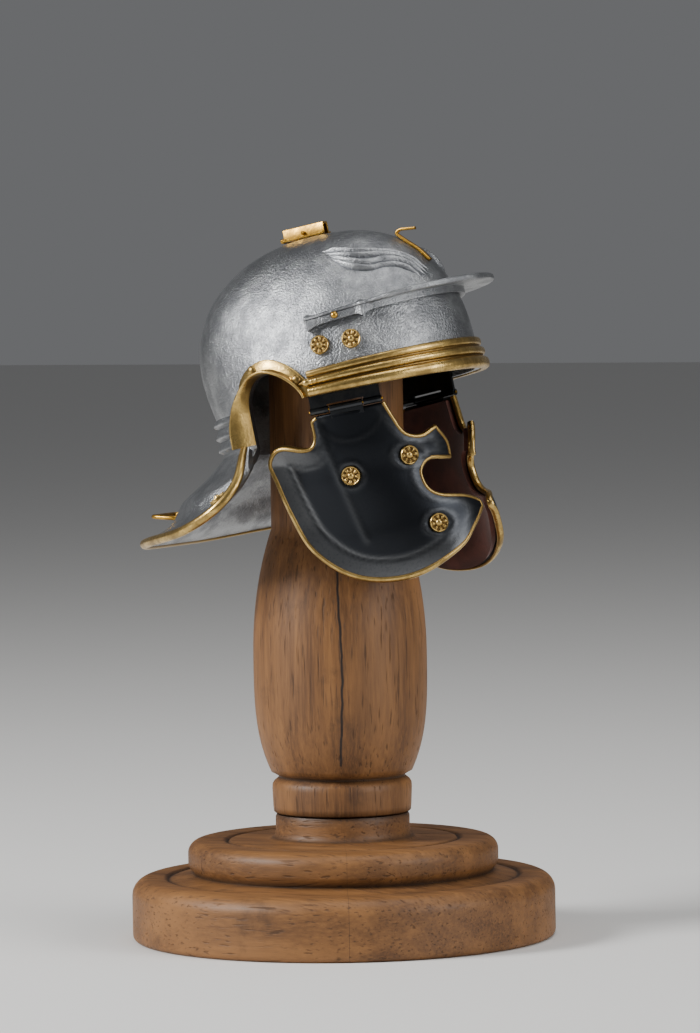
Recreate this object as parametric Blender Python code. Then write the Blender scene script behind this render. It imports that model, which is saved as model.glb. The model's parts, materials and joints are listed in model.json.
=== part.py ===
"""Legionary helmet of a 1:6 collector's miniature, on its turned wooden stand.

The stand's base rests on Z = 0 with its axis on the Z axis, and the helmet looks towards -Y.
The helmet is modelled in its own frame, which is then pitched back on the stand:
its lower brow edge is the plane z = 0, x is lateral and -y is forward.
"""

import math

import bmesh
import bpy
from mathutils import Matrix, Vector
from mathutils.geometry import delaunay_2d_cdt, intersect_point_line

MM = 0.001

# Fits
SEAT_GAP = 0.15 * MM
PIN_CLEARANCE = 0.08 * MM
KNUCKLE_GAP = 0.2 * MM

# Stand
BASE_RADIUS = 30.0 * MM
BASE_THICKNESS = 8.75 * MM
BASE_SHOULDER = 2.4 * MM
STEP_RADIUS = 22.0 * MM
STEP_TOP = 13.98 * MM
FOOT_RADIUS = 9.5 * MM
FOOT_TOP = 17.65 * MM
POST_COLLAR_RADIUS = 9.9 * MM
POST_COLLAR_HEIGHT = 4.8 * MM
POST_BELLY_RADIUS = 12.3 * MM
POST_BELLY_HEIGHT = 39.5 * MM
POST_NECK_RADIUS = 9.46 * MM
POST_NECK_HEIGHT = 58.0 * MM
POST_CROWN_CLEARANCE = 0.35 * MM

# Helmet on the stand
HELMET_HEIGHT = 76.8 * MM
HELMET_FORWARD = 2.0 * MM
HELMET_PITCH = math.radians(11.5)

# Bowl
WALL = 0.9 * MM
CROWN_HEIGHT = 22.9 * MM
BOWL_FRONT = 19.4 * MM
BOWL_REAR = 20.6 * MM
BOWL_HALF_WIDTH = 17.0 * MM
FRONT_WIDEST = 2.0 * MM
REAR_WIDEST = 6.75 * MM
FRONT_FULLNESS = 2.47
REAR_FULLNESS = 2.17
SIDE_FULLNESS = 2.02
NAPE_TUCK = 1.1 * MM
NAPE_DEPTH = 5.4 * MM
NAPE_RIB_HEIGHT = 0.45 * MM
NAPE_RIB_HALF_WIDTH = 0.55 * MM

# Ear opening
EAR_REAR = 8.3 * MM
EAR_FRONT = 1.1 * MM
EAR_TOP_BACK = 3.9 * MM
EAR_HEIGHT = 4.3 * MM
EAR_GUARD_THICKNESS = 0.4 * MM
EAR_GUARD_LEG = 2.0 * MM
EAR_FLANGE = 2.0 * MM
EAR_FLANGE_REAR = 2.9 * MM
EAR_FLANGE_FRONT = 0.9 * MM
EAR_FLARE = 1.5 * MM

# Neck guard
NECK_REACH = 32.0 * MM
NECK_HALF_WIDTH = 23.5 * MM
NECK_DROP = 14.5 * MM
NECK_CREST_HEIGHT = 0.85 * MM
NECK_TRIM_RADIUS = 0.5 * MM

# Brow band and visor
BAND_HEIGHT = 4.2 * MM
BAND_THICKNESS = 1.3 * MM
BAND_END = 2.2 * MM
VISOR_HEIGHT = 0.454 * CROWN_HEIGHT
VISOR_RISE = 0.1
VISOR_END = 3.0 * MM
VISOR_LEAF_HEIGHT = 1.5 * MM
VISOR_LEAF_THICKNESS = 0.5 * MM
VISOR_PROJECTION = 5.5 * MM
VISOR_PEAK_START = 11.0 * MM
VISOR_RIM = 0.9 * MM

# Eyebrow embossing
BROW_RIDGE_RADIUS = 0.42 * MM
BROW_RIDGE_TIP = 0.18 * MM

# Bosses and rivets
ROSETTE_RADIUS = 1.35 * MM
ROSETTE_HEIGHT = 0.6 * MM
NECK_ROSETTE_RADIUS = 1.05 * MM
NECK_ROSETTE_LIFT = 0.25 * MM
RIVET_RADIUS = 0.5 * MM
RIVET_HEIGHT = 0.4 * MM

# Crest fittings
CREST_LENGTH = 6.4 * MM
CREST_WIDTH = 1.5 * MM
CREST_HEIGHT = 1.7 * MM
CREST_FOOT = 0.7 * MM
CREST_SHEET = 0.3 * MM
CREST_BACK = 1.6 * MM
CREST_PIN_RADIUS = 0.28 * MM
HOOK_WIDTH = 0.9 * MM
HOOK_THICKNESS = 0.4 * MM

# Carrying handle
HANDLE_HALF_WIDTH = 3.6 * MM
HANDLE_BACK = 28.6 * MM
HANDLE_LENGTH = 3.9 * MM
HANDLE_LIFT = math.radians(14.0)
HANDLE_RADIUS = 0.32 * MM
EYE_WIRE = 0.26 * MM
EYE_CLEARANCE = 0.14 * MM

# Cheek guards
HINGE_REAR = 0.9 * MM
HINGE_FRONT = 10.6 * MM
HINGE_DROP = 2.2 * MM
HINGE_LEAF_TOP = 1.7 * MM
HINGE_SHEET = 0.4 * MM
KNUCKLE_RADIUS = 0.5 * MM
PIN_RADIUS = 0.2 * MM
CHEEK_KNUCKLE_SHARE = 0.46
CHEEK_LENGTH = 24.6 * MM
CHEEK_DEPTH = 24.2 * MM
CHEEK_SHEET = 0.8 * MM
CHEEK_FLARE_WIDTH = 2.6 * MM
CHEEK_FLARE = 1.6 * MM
CHEEK_TRIM_WIDTH = 0.6 * MM
CHEEK_TRIM_THICKNESS = 1.1 * MM
CHEEK_TRIM_GAP = 0.2 * MM
LINING_THICKNESS = 0.5 * MM
LINING_INSET = 0.6 * MM
LINING_GAP = 0.4 * MM

# Fineness of the facets
TURNED_SIDES = 28
BOWL_COLUMNS = 40
BOWL_RINGS = 8
BAND_STATIONS = 23
EAR_STATIONS = 15
CHEEK_EDGE_STEP = 1.5 * MM
CHEEK_GRID_STEP = 2.3 * MM

SIDES = {"right": -1, "left": 1}

# Ribs of the nape, as shares of the nape's depth below the brow plane
NAPE_RIBS = (0.15, 0.49, 0.81)

# Neck guard from nape to rim: share of the way out, share of the drop, share of the crest's height
NECK_ROWS = (
    (0.10, 0.14, 0.2),
    (0.25, 0.34, 0.55),
    (0.42, 0.52, 0.9),
    (0.56, 0.66, 1.0),
    (0.64, 0.80, 0.3),
    (0.74, 0.89, 0.0),
    (0.88, 0.96, 0.0),
    (1.00, 1.00, 0.0),
)

# Rim of the neck guard from the ear to the centre: shares of the half width, of the way back, of the drop
NECK_RIM = (
    (0.90, 0.05, 0.46),
    (1.00, 0.18, 0.78),
    (0.94, 0.43, 0.97),
    (0.64, 0.80, 0.99),
    (0.38, 0.97, 1.00),
    (0.00, 1.00, 1.00),
)

# Section of the brow band, from its top down: share of the thickness, share of the height
BAND_SECTION = (
    (0.38, 1.00),
    (0.55, 0.92),
    (0.55, 0.76),
    (0.42, 0.70),
    (0.78, 0.62),
    (0.78, 0.44),
    (0.62, 0.38),
    (1.00, 0.28),
    (1.00, 0.04),
    (0.70, -0.06),
)

# Eyebrow ridges from the temple to the forehead: degrees round from the front, share of the crown's height
EYEBROW_RIDGES = (
    ((70, 0.86), (58, 0.85), (47, 0.82), (35, 0.79), (24, 0.76), (12, 0.65)),
    ((66, 0.825), (53, 0.78), (43, 0.76), (32, 0.75), (22, 0.72), (12, 0.62)),
    ((64, 0.785), (55, 0.715), (45, 0.68), (36, 0.705), (27, 0.71), (17, 0.62)),
)

# Cheek guard's outline from the hinge's front end: share of the length, share of the depth, corner or not.
# The rows marked flared belong to the edge that is turned outward, with the share of the full flare.
CHEEK_OUTLINE = (
    (0.715, 0.00, "corner", 0.0),
    (0.735, 0.08, "round", 0.0),
    (0.770, 0.19, "round", 0.0),
    (0.835, 0.225, "round", 0.0),
    (0.895, 0.185, "corner", 0.0),
    (0.913, 0.27, "round", 0.0),
    (0.905, 0.375, "corner", 0.0),
    (0.840, 0.362, "round", 0.0),
    (0.800, 0.42, "round", 0.0),
    (0.815, 0.52, "round", 0.0),
    (0.865, 0.575, "round", 0.0),
    (0.948, 0.602, "round", 0.0),
    (0.988, 0.640, "round", 0.0),
    (1.000, 0.70, "round", 0.0),
    (0.975, 0.79, "round", 0.1),
    (0.920, 0.89, "round", 0.4),
    (0.775, 0.975, "round", 0.9),
    (0.610, 1.00, "round", 1.0),
    (0.420, 0.965, "round", 1.0),
    (0.262, 0.87, "round", 1.0),
    (0.130, 0.71, "round", 1.0),
    (0.068, 0.52, "round", 1.0),
    (0.020, 0.32, "round", 1.0),
    (0.000, 0.225, "round", 1.0),
    (0.040, 0.165, "round", 0.9),
    (0.110, 0.148, "round", 0.8),
    (0.225, 0.180, "round", 0.5),
    (0.282, 0.172, "round", 0.2),
    (0.304, 0.120, "round", 0.0),
    (0.306, 0.03, "corner", 0.0),
    (0.352, 0.00, "corner", 0.0),
)

# Cheek guard's plan at several depths: share of the depth, shares of the half width and reach at the hinge
CHEEK_PLAN = (
    (-0.10, 1.000, 1.000),
    (0.20, 0.987, 0.915),
    (0.38, 0.961, 0.878),
    (0.72, 0.877, 0.990),
    (1.02, 0.800, 1.010),
)

# Bosses of the cheek guard: share of the length, share of the depth
CHEEK_BOSSES = ((0.463, 0.376), (0.764, 0.322), (0.837, 0.735))

# Bosses and rivets of the bowl: forward and height on the outer face
BOWL_BOSSES = ((4.6 * MM, 6.6 * MM), (8.8 * MM, 6.6 * MM))

# Rosette of the neck guard: turn from the front, then shares of the way out and of the drop
NECK_BOSS_TURN = 125.0
NECK_BOSS_STEP = 0.05
NECK_BOSS_SPOT = (0.78, 0.91)
NECK_BOSS_BEYOND = (0.88, 0.96)


def clear_scene():
    for thing in list(bpy.data.objects):
        bpy.data.objects.remove(thing, do_unlink=True)


def make_material(name, colour, roughness, metallic):
    material = bpy.data.materials.new(name)
    material.use_nodes = True
    shader = material.node_tree.nodes["Principled BSDF"]
    shader.inputs["Base Color"].default_value = (*colour, 1.0)
    shader.inputs["Roughness"].default_value = roughness
    shader.inputs["Metallic"].default_value = metallic
    return material


def make_empty(name, parent=None, matrix=None):
    empty = bpy.data.objects.new(name, None)
    bpy.context.collection.objects.link(empty)
    empty.parent = parent
    if matrix is not None:
        empty.matrix_local = matrix
    return empty


def finish_piece(name, bm, material, parent=None, matrix=None, sharp=35.0):
    """Close up a bmesh into a named object with outward faces, smooth where it is round."""
    bmesh.ops.recalc_face_normals(bm, faces=bm.faces)
    mesh = bpy.data.meshes.new(name)
    bm.to_mesh(mesh)
    bm.free()
    mesh.shade_smooth()
    mesh.set_sharp_from_angle(angle=math.radians(sharp))
    mesh.materials.append(material)
    piece = bpy.data.objects.new(name, mesh)
    bpy.context.collection.objects.link(piece)
    piece.parent = parent
    if matrix is not None:
        piece.matrix_local = matrix
    return piece


def loft(bm, rings, closed=False):
    """Join equal rings of points with faces, and cap the two ends unless the rings close on themselves."""
    loops = [[bm.verts.new(point) for point in ring] for ring in rings]
    pairs = list(zip(loops, loops[1:]))
    if closed:
        pairs.append((loops[-1], loops[0]))
    for near, far in pairs:
        for index in range(len(near)):
            following = (index + 1) % len(near)
            bm.faces.new((near[index], near[following], far[following], far[index]))
    if not closed:
        bm.faces.new(loops[0])
        bm.faces.new(loops[-1])


def turn_profile(profile, sides):
    """Spin a profile of (radius, height) points, which starts and ends on the axis, round Z."""
    bm = bmesh.new()
    points = [bm.verts.new((radius, 0.0, height)) for radius, height in profile]
    edges = [bm.edges.new(pair) for pair in zip(points, points[1:])]
    bmesh.ops.spin(
        bm,
        geom=points + edges,
        axis=(0.0, 0.0, 1.0),
        cent=(0.0, 0.0, 0.0),
        angle=math.tau,
        steps=sides,
        use_duplicate=False,
    )
    bmesh.ops.remove_doubles(bm, verts=bm.verts, dist=0.001 * MM)
    return bm


def arc(centre, radius, start, end, steps):
    """Points of (radius, height) along an arc, angles in degrees from the outward direction."""
    points = []
    for step in range(steps + 1):
        angle = math.radians(start + (end - start) * step / steps)
        points.append((centre[0] + radius * math.cos(angle), centre[1] + radius * math.sin(angle)))
    return points


def spline(points, steps):
    """Catmull-Rom points through a list of vectors, with the given number of steps per span."""
    ends = [2 * points[0] - points[1], *points, 2 * points[-1] - points[-2]]
    result = []
    for before, start, end, after in zip(ends, ends[1:], ends[2:], ends[3:]):
        for step in range(steps):
            t = step / steps
            result.append(
                0.5
                * (
                    2 * start
                    + (end - before) * t
                    + (2 * before - 5 * start + 4 * end - after) * t**2
                    + (3 * start - before - 3 * end + after) * t**3
                )
            )
    result.append(points[-1].copy())
    return result


def resample(points, count):
    """The same path with points at even spacing."""
    lengths = [0.0]
    for start, end in zip(points, points[1:]):
        lengths.append(lengths[-1] + (end - start).length)
    result = []
    span = 0
    for index in range(count):
        wanted = lengths[-1] * index / (count - 1)
        while span < len(points) - 2 and lengths[span + 1] < wanted:
            span += 1
        width = lengths[span + 1] - lengths[span]
        share = (wanted - lengths[span]) / width if width else 0.0
        result.append(points[span].lerp(points[span + 1], min(max(share, 0.0), 1.0)))
    return result


def tangent(points, index):
    before = points[max(index - 1, 0)]
    after = points[min(index + 1, len(points) - 1)]
    return (after - before).normalized()


# Stand


def make_base(wood):
    """Two stepped discs and the foot ring, turned from one piece."""
    groove = 0.35 * MM
    step_radius_top = STEP_RADIUS - 1.5 * MM
    ring_radius = STEP_RADIUS - 5.6 * MM
    cove_radius = STEP_RADIUS - 0.8 * MM
    ledge_radius = STEP_RADIUS + 2.9 * MM
    flare = 1.1 * MM
    shoulder_centre = (BASE_RADIUS - BASE_SHOULDER, BASE_THICKNESS - BASE_SHOULDER)
    profile = [(0.0, 0.0), (BASE_RADIUS - 0.8 * MM, 0.0), (BASE_RADIUS, 0.8 * MM)]
    profile += arc(shoulder_centre, BASE_SHOULDER, 0.0, 90.0, 3)
    profile += [
        (ledge_radius + groove, BASE_THICKNESS),
        (ledge_radius, BASE_THICKNESS - groove),
        (cove_radius, BASE_THICKNESS + 0.65 * MM),
        (STEP_RADIUS, STEP_TOP - 3.2 * MM),
        (STEP_RADIUS, STEP_TOP - 1.4 * MM),
        (step_radius_top, STEP_TOP),
        (ring_radius + groove, STEP_TOP),
        (ring_radius, STEP_TOP - groove),
        (ring_radius - groove, STEP_TOP),
        (FOOT_RADIUS + flare, STEP_TOP),
        (FOOT_RADIUS, STEP_TOP + 0.6 * MM),
        (FOOT_RADIUS, FOOT_TOP),
        (0.0, FOOT_TOP),
    ]
    finish_piece("stand_base", turn_profile(profile, TURNED_SIDES), wood)


def crown_limit():
    """World height at which the post's dome would touch the inside of the crown."""
    lowest = CROWN_HEIGHT
    for ring in range(12):
        for column in range(24):
            radius = POST_NECK_RADIUS * ring / 12
            angle = math.tau * column / 24
            side = radius * math.sin(angle)
            forward = radius * math.cos(angle) - HELMET_FORWARD
            height = bowl_height(forward / math.cos(HELMET_PITCH) + CROWN_LEAN, side, WALL)
            world = forward * math.tan(HELMET_PITCH) + height / math.cos(HELMET_PITCH)
            dome = POST_NECK_RADIUS - math.sqrt(POST_NECK_RADIUS**2 - radius**2)
            lowest = min(lowest, world + dome)
    return HELMET_HEIGHT + lowest


def make_post(wood):
    """Collar and long-bellied spindle, going on up as a plain domed post inside the helmet."""
    foot = FOOT_TOP + SEAT_GAP
    collar_top = foot + POST_COLLAR_HEIGHT
    groove = 0.45 * MM
    top = crown_limit() - POST_CROWN_CLEARANCE
    belly_swell = POST_BELLY_RADIUS - POST_NECK_RADIUS
    profile = [
        (0.0, foot),
        (POST_COLLAR_RADIUS - 0.2 * MM, foot),
        (POST_COLLAR_RADIUS, collar_top - 1.4 * MM),
        (POST_COLLAR_RADIUS - 0.7 * MM, collar_top),
        (POST_COLLAR_RADIUS - 2 * groove, collar_top + groove),
        (POST_COLLAR_RADIUS + 0.1 * MM, collar_top + 1.0 * MM),
    ]
    lower = POST_BELLY_HEIGHT - collar_top - 1.0 * MM
    rise_radius = POST_BELLY_RADIUS - profile[-1][0]
    for share in (0.1, 0.25, 0.5, 0.75):
        swell = (1.0 - (1.0 - share) ** 3.2) * rise_radius
        profile.append((profile[5][0] + swell, collar_top + 1.0 * MM + lower * share))
    upper = POST_NECK_HEIGHT - POST_BELLY_HEIGHT
    for step in range(6):
        share = step / 5
        profile.append((POST_BELLY_RADIUS - belly_swell * share**2.2, POST_BELLY_HEIGHT + upper * share))
    profile += arc((0.0, top - POST_NECK_RADIUS), POST_NECK_RADIUS, 0.0, 75.0, 5)
    profile.append((0.0, top))
    finish_piece("stand_post", turn_profile(profile, TURNED_SIDES), wood)


# Bowl


def reach_at(height, full, widest, fullness, inset):
    crown = CROWN_HEIGHT - inset
    rise = min(max((height - widest) / (crown - widest), 0.0), 1.0)
    return (full - inset) * (1.0 - rise**fullness) ** (1.0 / fullness)


def bowl_section(height, inset=0.0):
    """Front reach, rear reach and half width of the bowl at a height above the brow plane."""
    front = reach_at(height, BOWL_FRONT, FRONT_WIDEST, FRONT_FULLNESS, inset)
    rear = reach_at(height, BOWL_REAR, REAR_WIDEST, REAR_FULLNESS, inset)
    side = reach_at(height, BOWL_HALF_WIDTH, FRONT_WIDEST, SIDE_FULLNESS, inset)
    below = min(max((REAR_WIDEST - height) / REAR_WIDEST, 0.0), 1.0)
    tuck = NAPE_TUCK * below**1.5
    return front, rear - tuck, side


def bowl_point(turn, height, inset=0.0):
    """A point of the bowl's outer face, or of its inner face when inset; turn is measured from the front."""
    front, rear, side = bowl_section(height, inset)
    forward = (front if math.cos(turn) > 0.0 else rear) * math.cos(turn)
    return Vector((side * math.sin(turn), -forward, height))


def bowl_normal(turn, height):
    step = 0.01
    rise = 0.05 * MM
    height = min(height, CROWN_HEIGHT - 2 * rise)
    around = bowl_point(turn + step, height) - bowl_point(turn - step, height)
    up = bowl_point(turn, height + rise) - bowl_point(turn, height - rise)
    normal = around.cross(up).normalized()
    outward = bowl_point(turn, height) - Vector((0.0, 0.0, -CROWN_HEIGHT / 2))
    return normal if normal.dot(outward) > 0.0 else -normal


def turn_at(forward, height):
    front, rear, side = bowl_section(height)
    return math.acos(min(max(forward / (front if forward > 0.0 else rear), -1.0), 1.0))


def half_width_at(forward, height, inset=0.0):
    front, rear, side = bowl_section(height, inset)
    return side * math.sqrt(max(0.0, 1.0 - (forward / (front if forward > 0.0 else rear)) ** 2))


def bowl_height(forward, lateral, inset):
    """Height of the bowl's face over a point of its plan, found by halving."""
    low, high = 0.0, CROWN_HEIGHT - inset
    for _ in range(40):
        middle = (low + high) / 2
        front, rear, side = bowl_section(middle, inset)
        lengthwise = front if forward > 0.0 else rear
        outside = min(lengthwise, side) < 0.01 * MM
        if outside or (forward / lengthwise) ** 2 + (lateral / side) ** 2 > 1.0:
            high = middle
        else:
            low = middle
    return low


CROWN_LEAN = (CROWN_HEIGHT - WALL) * math.tan(HELMET_PITCH)


def neck_rim_points():
    """Points of the neck guard's rim on one side, from the ear to the centre of the back."""
    corner_side = half_width_at(-EAR_REAR, 0.0) + 1.8 * MM
    corner_drop = NAPE_DEPTH + 0.3 * MM
    corner = Vector((corner_side, EAR_REAR + 0.6 * MM, -corner_drop))
    points = [corner]
    for across, back, drop in NECK_RIM:
        y = corner.y + (NECK_REACH - corner.y) * back
        z = -corner_drop - (NECK_DROP - corner_drop) * drop
        points.append(Vector((NECK_HALF_WIDTH * across, y, z)))
    return spline(points, 8)


def neck_rim_at(share):
    """Rim point at a share of the way from the right ear round to the left ear."""
    half = resample(neck_rim_points(), 97)
    position = (1.0 - abs(2.0 * share - 1.0)) * (len(half) - 1)
    index = min(int(position), len(half) - 2)
    point = half[index].lerp(half[index + 1], position - index)
    point.x *= -1.0 if share < 0.5 else 1.0
    return point


def neck_top_point(turn, out, drop, crest, first_turn):
    """Point of the neck guard's upper face on the line that leaves the nape at the given turn."""
    nape = bowl_point(turn, 0.0)
    nape.z = -NAPE_DEPTH
    share = 0.5 + 0.5 * (math.pi - turn) / (math.pi - first_turn)
    rim = neck_rim_at(share)
    point = nape.lerp(rim, out)
    point.z = nape.z + (rim.z - nape.z) * drop
    fade = min(1.0, 6.0 * (0.5 - abs(share - 0.5)))
    point.z += NECK_CREST_HEIGHT * crest * fade
    return point


def bowl_faces():
    """Paired outer and inner points of bowl, nape and neck guard, and the faces that join them."""
    turns = [math.tau * column / BOWL_COLUMNS for column in range(BOWL_COLUMNS)]
    outer = [Vector((0.0, 0.0, CROWN_HEIGHT))]
    inner = [Vector((0.0, 0.0, CROWN_HEIGHT - WALL))]
    faces = []

    def add_row(places, previous, closed):
        first = len(outer)
        outer.extend(place[0] for place in places)
        inner.extend(place[1] for place in places)
        row = list(range(first, len(outer)))
        count = len(row) if closed else len(row) - 1
        for index in range(count):
            following = (index + 1) % len(row)
            if len(previous) == 1:
                faces.append((previous[0], row[index], row[following]))
            else:
                faces.append((previous[index], row[index], row[following], previous[following]))
        return row

    row = [0]
    for ring in range(1, BOWL_RINGS + 1):
        lift = math.cos(0.5 * math.pi * ring / BOWL_RINGS) ** 0.9 if ring < BOWL_RINGS else 0.0
        places = []
        for turn in turns:
            hollow = bowl_point(turn, (CROWN_HEIGHT - WALL) * lift, WALL)
            places.append((bowl_point(turn, CROWN_HEIGHT * lift), hollow))
        row = add_row(places, row, True)

    behind = [column for column in range(BOWL_COLUMNS) if bowl_point(turns[column], 0.0).y > EAR_REAR - 0.4 * MM]
    rear = list(range(behind[0] - 1, behind[-1] + 2))
    first_turn = turns[rear[0]]
    row = [row[column] for column in rear]
    for rib in NAPE_RIBS:
        for side in (-1, 0, 1):
            drop = rib * NAPE_DEPTH + side * NAPE_RIB_HALF_WIDTH
            places = []
            for column in rear:
                turn = turns[column]
                fade = min(max(4.0 * (math.pi - first_turn - abs(math.pi - turn)) - 0.6, 0.0), 1.0)
                swell = NAPE_RIB_HEIGHT * fade * (side == 0)
                point = bowl_point(turn, 0.0) + plan_normal(turn, 1.0 * MM) * swell
                hollow = bowl_point(turn, 0.0, WALL)
                point.z = hollow.z = -drop
                places.append((point, hollow))
            row = add_row(places, row, False)
    neck_start = len(outer)
    for out, drop, crest in NECK_ROWS:
        points = [neck_top_point(turns[column], out, drop, crest, first_turn) for column in rear]
        row = add_row([(point, point) for point in points], row, False)
    normals = sheet_normals(outer, faces)
    for index in range(neck_start, len(outer)):
        inner[index] = outer[index] - normals[index] * WALL
    return outer, inner, faces, first_turn, row


def sheet_normals(points, faces):
    """Normal at each point of a sheet, averaged from the faces round it."""
    normals = [Vector() for _ in points]
    for face in faces:
        corners = [points[index] for index in face]
        normal = (corners[2] - corners[0]).cross(corners[-1] - corners[1]).normalized()
        for index in face:
            normals[index] += normal
    return [normal.normalized() for normal in normals]


def close_shell(bm, outer, inner, faces):
    """Closed wall between two equal sheets of points that share their faces."""
    outside = [bm.verts.new(point) for point in outer]
    inside = [bm.verts.new(point) for point in inner]
    directed = set()
    for face in faces:
        bm.faces.new([outside[i] for i in face])
        bm.faces.new([inside[i] for i in reversed(face)])
        directed.update(zip(face, [*face[1:], face[0]]))
    for a, b in directed:
        if (b, a) not in directed:
            bm.faces.new((outside[b], outside[a], inside[a], inside[b]))


def ear_path(count):
    """Edge of the ear opening as (forward, height), from its rear foot over the arch to its front foot."""
    foot = -(NAPE_DEPTH - 0.5 * MM)
    straight = -1.0 * MM
    points = [Vector((-EAR_REAR, foot)), Vector((-EAR_REAR, straight))]
    for step in range(1, 9):
        angle = 0.5 * math.pi * step / 8
        run = (EAR_REAR - EAR_TOP_BACK) * math.cos(angle) ** 0.9
        rise = (EAR_HEIGHT - straight) * math.sin(angle) ** 0.9
        points.append(Vector((-EAR_TOP_BACK - run, straight + rise)))
    for step in range(1, 9):
        angle = 0.5 * math.pi * (1.0 - step / 8)
        run = (EAR_FRONT + EAR_TOP_BACK) * math.cos(angle) ** 1.25
        rise = (EAR_HEIGHT + SEAT_GAP) * math.sin(angle) ** 1.25
        points.append(Vector((-EAR_TOP_BACK + run, rise - SEAT_GAP)))
    return resample(points, count)


def make_ear_cutter():
    path = ear_path(EAR_STATIONS)
    floor = -2.0 * NAPE_DEPTH
    outline = [Vector((path[0].x, floor)), *path, Vector((path[-1].x, floor))]
    width = 1.6 * BOWL_HALF_WIDTH
    bm = bmesh.new()
    loft(bm, [[Vector((x, -point.x, point.y)) for point in outline] for x in (-width, width)])
    return bm


def hide_cutter(cutter):
    cutter.hide_render = True
    cutter.display_type = "WIRE"


def eyebrow_bm(side):
    """The raised ridges of one eyebrow, sunk half into the bowl so that they join it."""
    meshes = []
    for number, ridge in enumerate(EYEBROW_RIDGES):
        bm = bmesh.new()
        rings = []
        points = []
        for degrees, height in ridge:
            points.append(bowl_point(side * math.radians(degrees), height * CROWN_HEIGHT))
        for index, point in enumerate(points):
            degrees, height = ridge[index]
            normal = bowl_normal(side * math.radians(degrees), height * CROWN_HEIGHT)
            along = tangent(points, index)
            across = along.cross(normal).normalized()
            end = index in (0, len(points) - 1)
            radius = BROW_RIDGE_TIP if end else BROW_RIDGE_RADIUS
            ring = []
            for corner in range(4):
                angle = math.tau * corner / 4
                lift = normal * radius * math.sin(angle) * 1.1
                ring.append(point + across * radius * math.cos(angle) + lift)
            rings.append(ring)
        loft(bm, rings)
        meshes.append((number, bm))
    return meshes


def join_with(piece, other, operation):
    hide_cutter(other)
    modifier = piece.modifiers.new(other.name, "BOOLEAN")
    modifier.operation = operation
    modifier.solver = "EXACT"
    modifier.use_self = True
    modifier.object = other


def make_bowl(frame, tin):
    """Bowl with nape ribs and neck guard, raised from one sheet; ear openings cut, eyebrows embossed."""
    outer, inner, faces, first_turn, rim = bowl_faces()
    bm = bmesh.new()
    close_shell(bm, outer, inner, faces)
    bmesh.ops.triangulate(bm, faces=bm.faces)
    bowl = finish_piece("bowl", bm, tin, frame)
    cutter = finish_piece("ear_cutter", make_ear_cutter(), tin, frame)
    join_with(bowl, cutter, "DIFFERENCE")
    for name, side in SIDES.items():
        for number, ridge in eyebrow_bm(side):
            tool = finish_piece(f"eyebrow_{name}_{number + 1}", ridge, tin, frame)
            join_with(bowl, tool, "UNION")
    return first_turn, [(outer[index], inner[index]) for index in rim]


def make_ear_guard(name, side, frame, brass):
    """L-shaped strip round the ear opening: a leg on the bowl and a flange that stands out."""
    path = ear_path(EAR_STATIONS)
    points = []
    for station in path:
        turn = side * turn_at(station.x, max(station.y, 0.0))
        point = bowl_point(turn, max(station.y, 0.0))
        point.z = station.y
        points.append(point)
    rings = []
    for index, station in enumerate(path):
        share = index / (len(path) - 1)
        normal = bowl_normal(side * turn_at(station.x, max(station.y, 1.0 * MM)), max(station.y, 1.0 * MM))
        along = tangent(points, index)
        away = along.cross(normal).normalized() * -side
        rear = max(0.0, 1.0 - share / 0.4)
        front = max(0.0, (share - 0.6) / 0.4)
        flange = EAR_FLANGE + (EAR_FLANGE_REAR - EAR_FLANGE) * min(1.0, 2.0 * rear)
        flange += (EAR_FLANGE_FRONT - EAR_FLANGE) * front
        flare = EAR_FLARE * min(1.0, 2.0 * rear)
        leg = EAR_GUARD_LEG * (1.0 - 0.45 * min(1.0, 2.0 * rear) - 0.25 * front)
        sheet = EAR_GUARD_THICKNESS
        section = (
            (0.0, SEAT_GAP),
            (leg, SEAT_GAP),
            (leg, SEAT_GAP + sheet),
            (sheet, SEAT_GAP + sheet),
            (sheet + flare, SEAT_GAP + flange),
            (flare, SEAT_GAP + flange),
        )
        rings.append([points[index] + away * across + normal * out for across, out in section])
    bm = bmesh.new()
    loft(bm, rings)
    finish_piece(f"ear_guard_{name}", bm, brass, frame)


def make_neck_trim(frame, brass, rim):
    """Rounded edge strip along the rim of the neck guard, given as pairs of upper and lower points."""
    middles = [(upper + lower) / 2 for upper, lower in rim]
    rings = []
    for index, (upper, lower) in enumerate(rim):
        up = (upper - lower).normalized()
        outward = tangent(middles, index).cross(up).normalized()
        outward *= math.copysign(1.0, outward.dot(middles[index] - Vector((0.0, EAR_REAR, 0.0))))
        centre = middles[index] + outward * (SEAT_GAP + NECK_TRIM_RADIUS)
        ring = []
        for corner in range(6):
            angle = math.tau * corner / 6
            ring.append(
                centre
                + outward * NECK_TRIM_RADIUS * math.cos(angle)
                + up * 1.2 * NECK_TRIM_RADIUS * math.sin(angle)
            )
        rings.append(ring)
    bm = bmesh.new()
    loft(bm, rings)
    finish_piece("neck_trim", bm, brass, frame)


def plan_normal(turn, height):
    normal = bowl_normal(turn, height)
    normal.z = 0.0
    return normal.normalized()


def make_brow_band(frame, brass):
    """Three-ribbed band round the front of the bowl's lower edge."""
    limit = turn_at(BAND_END, 0.0)
    inner = ((SEAT_GAP, -0.06 * BAND_HEIGHT), (SEAT_GAP, BAND_HEIGHT))
    outer = tuple((SEAT_GAP + BAND_THICKNESS * out, BAND_HEIGHT * up) for out, up in BAND_SECTION)
    rings = []
    for station in range(BAND_STATIONS):
        turn = limit * (2.0 * station / (BAND_STATIONS - 1) - 1.0)
        lower = 1.0 - 0.19 * (turn / limit) ** 2
        ring = []
        for out, up in inner + outer:
            point = bowl_point(turn, max(up, 0.0)) + plan_normal(turn, 1.0 * MM) * out
            point.z = up * lower
            ring.append(point)
        rings.append(ring)
    bm = bmesh.new()
    loft(bm, rings)
    finish_piece("brow_band", bm, brass, frame)


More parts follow.
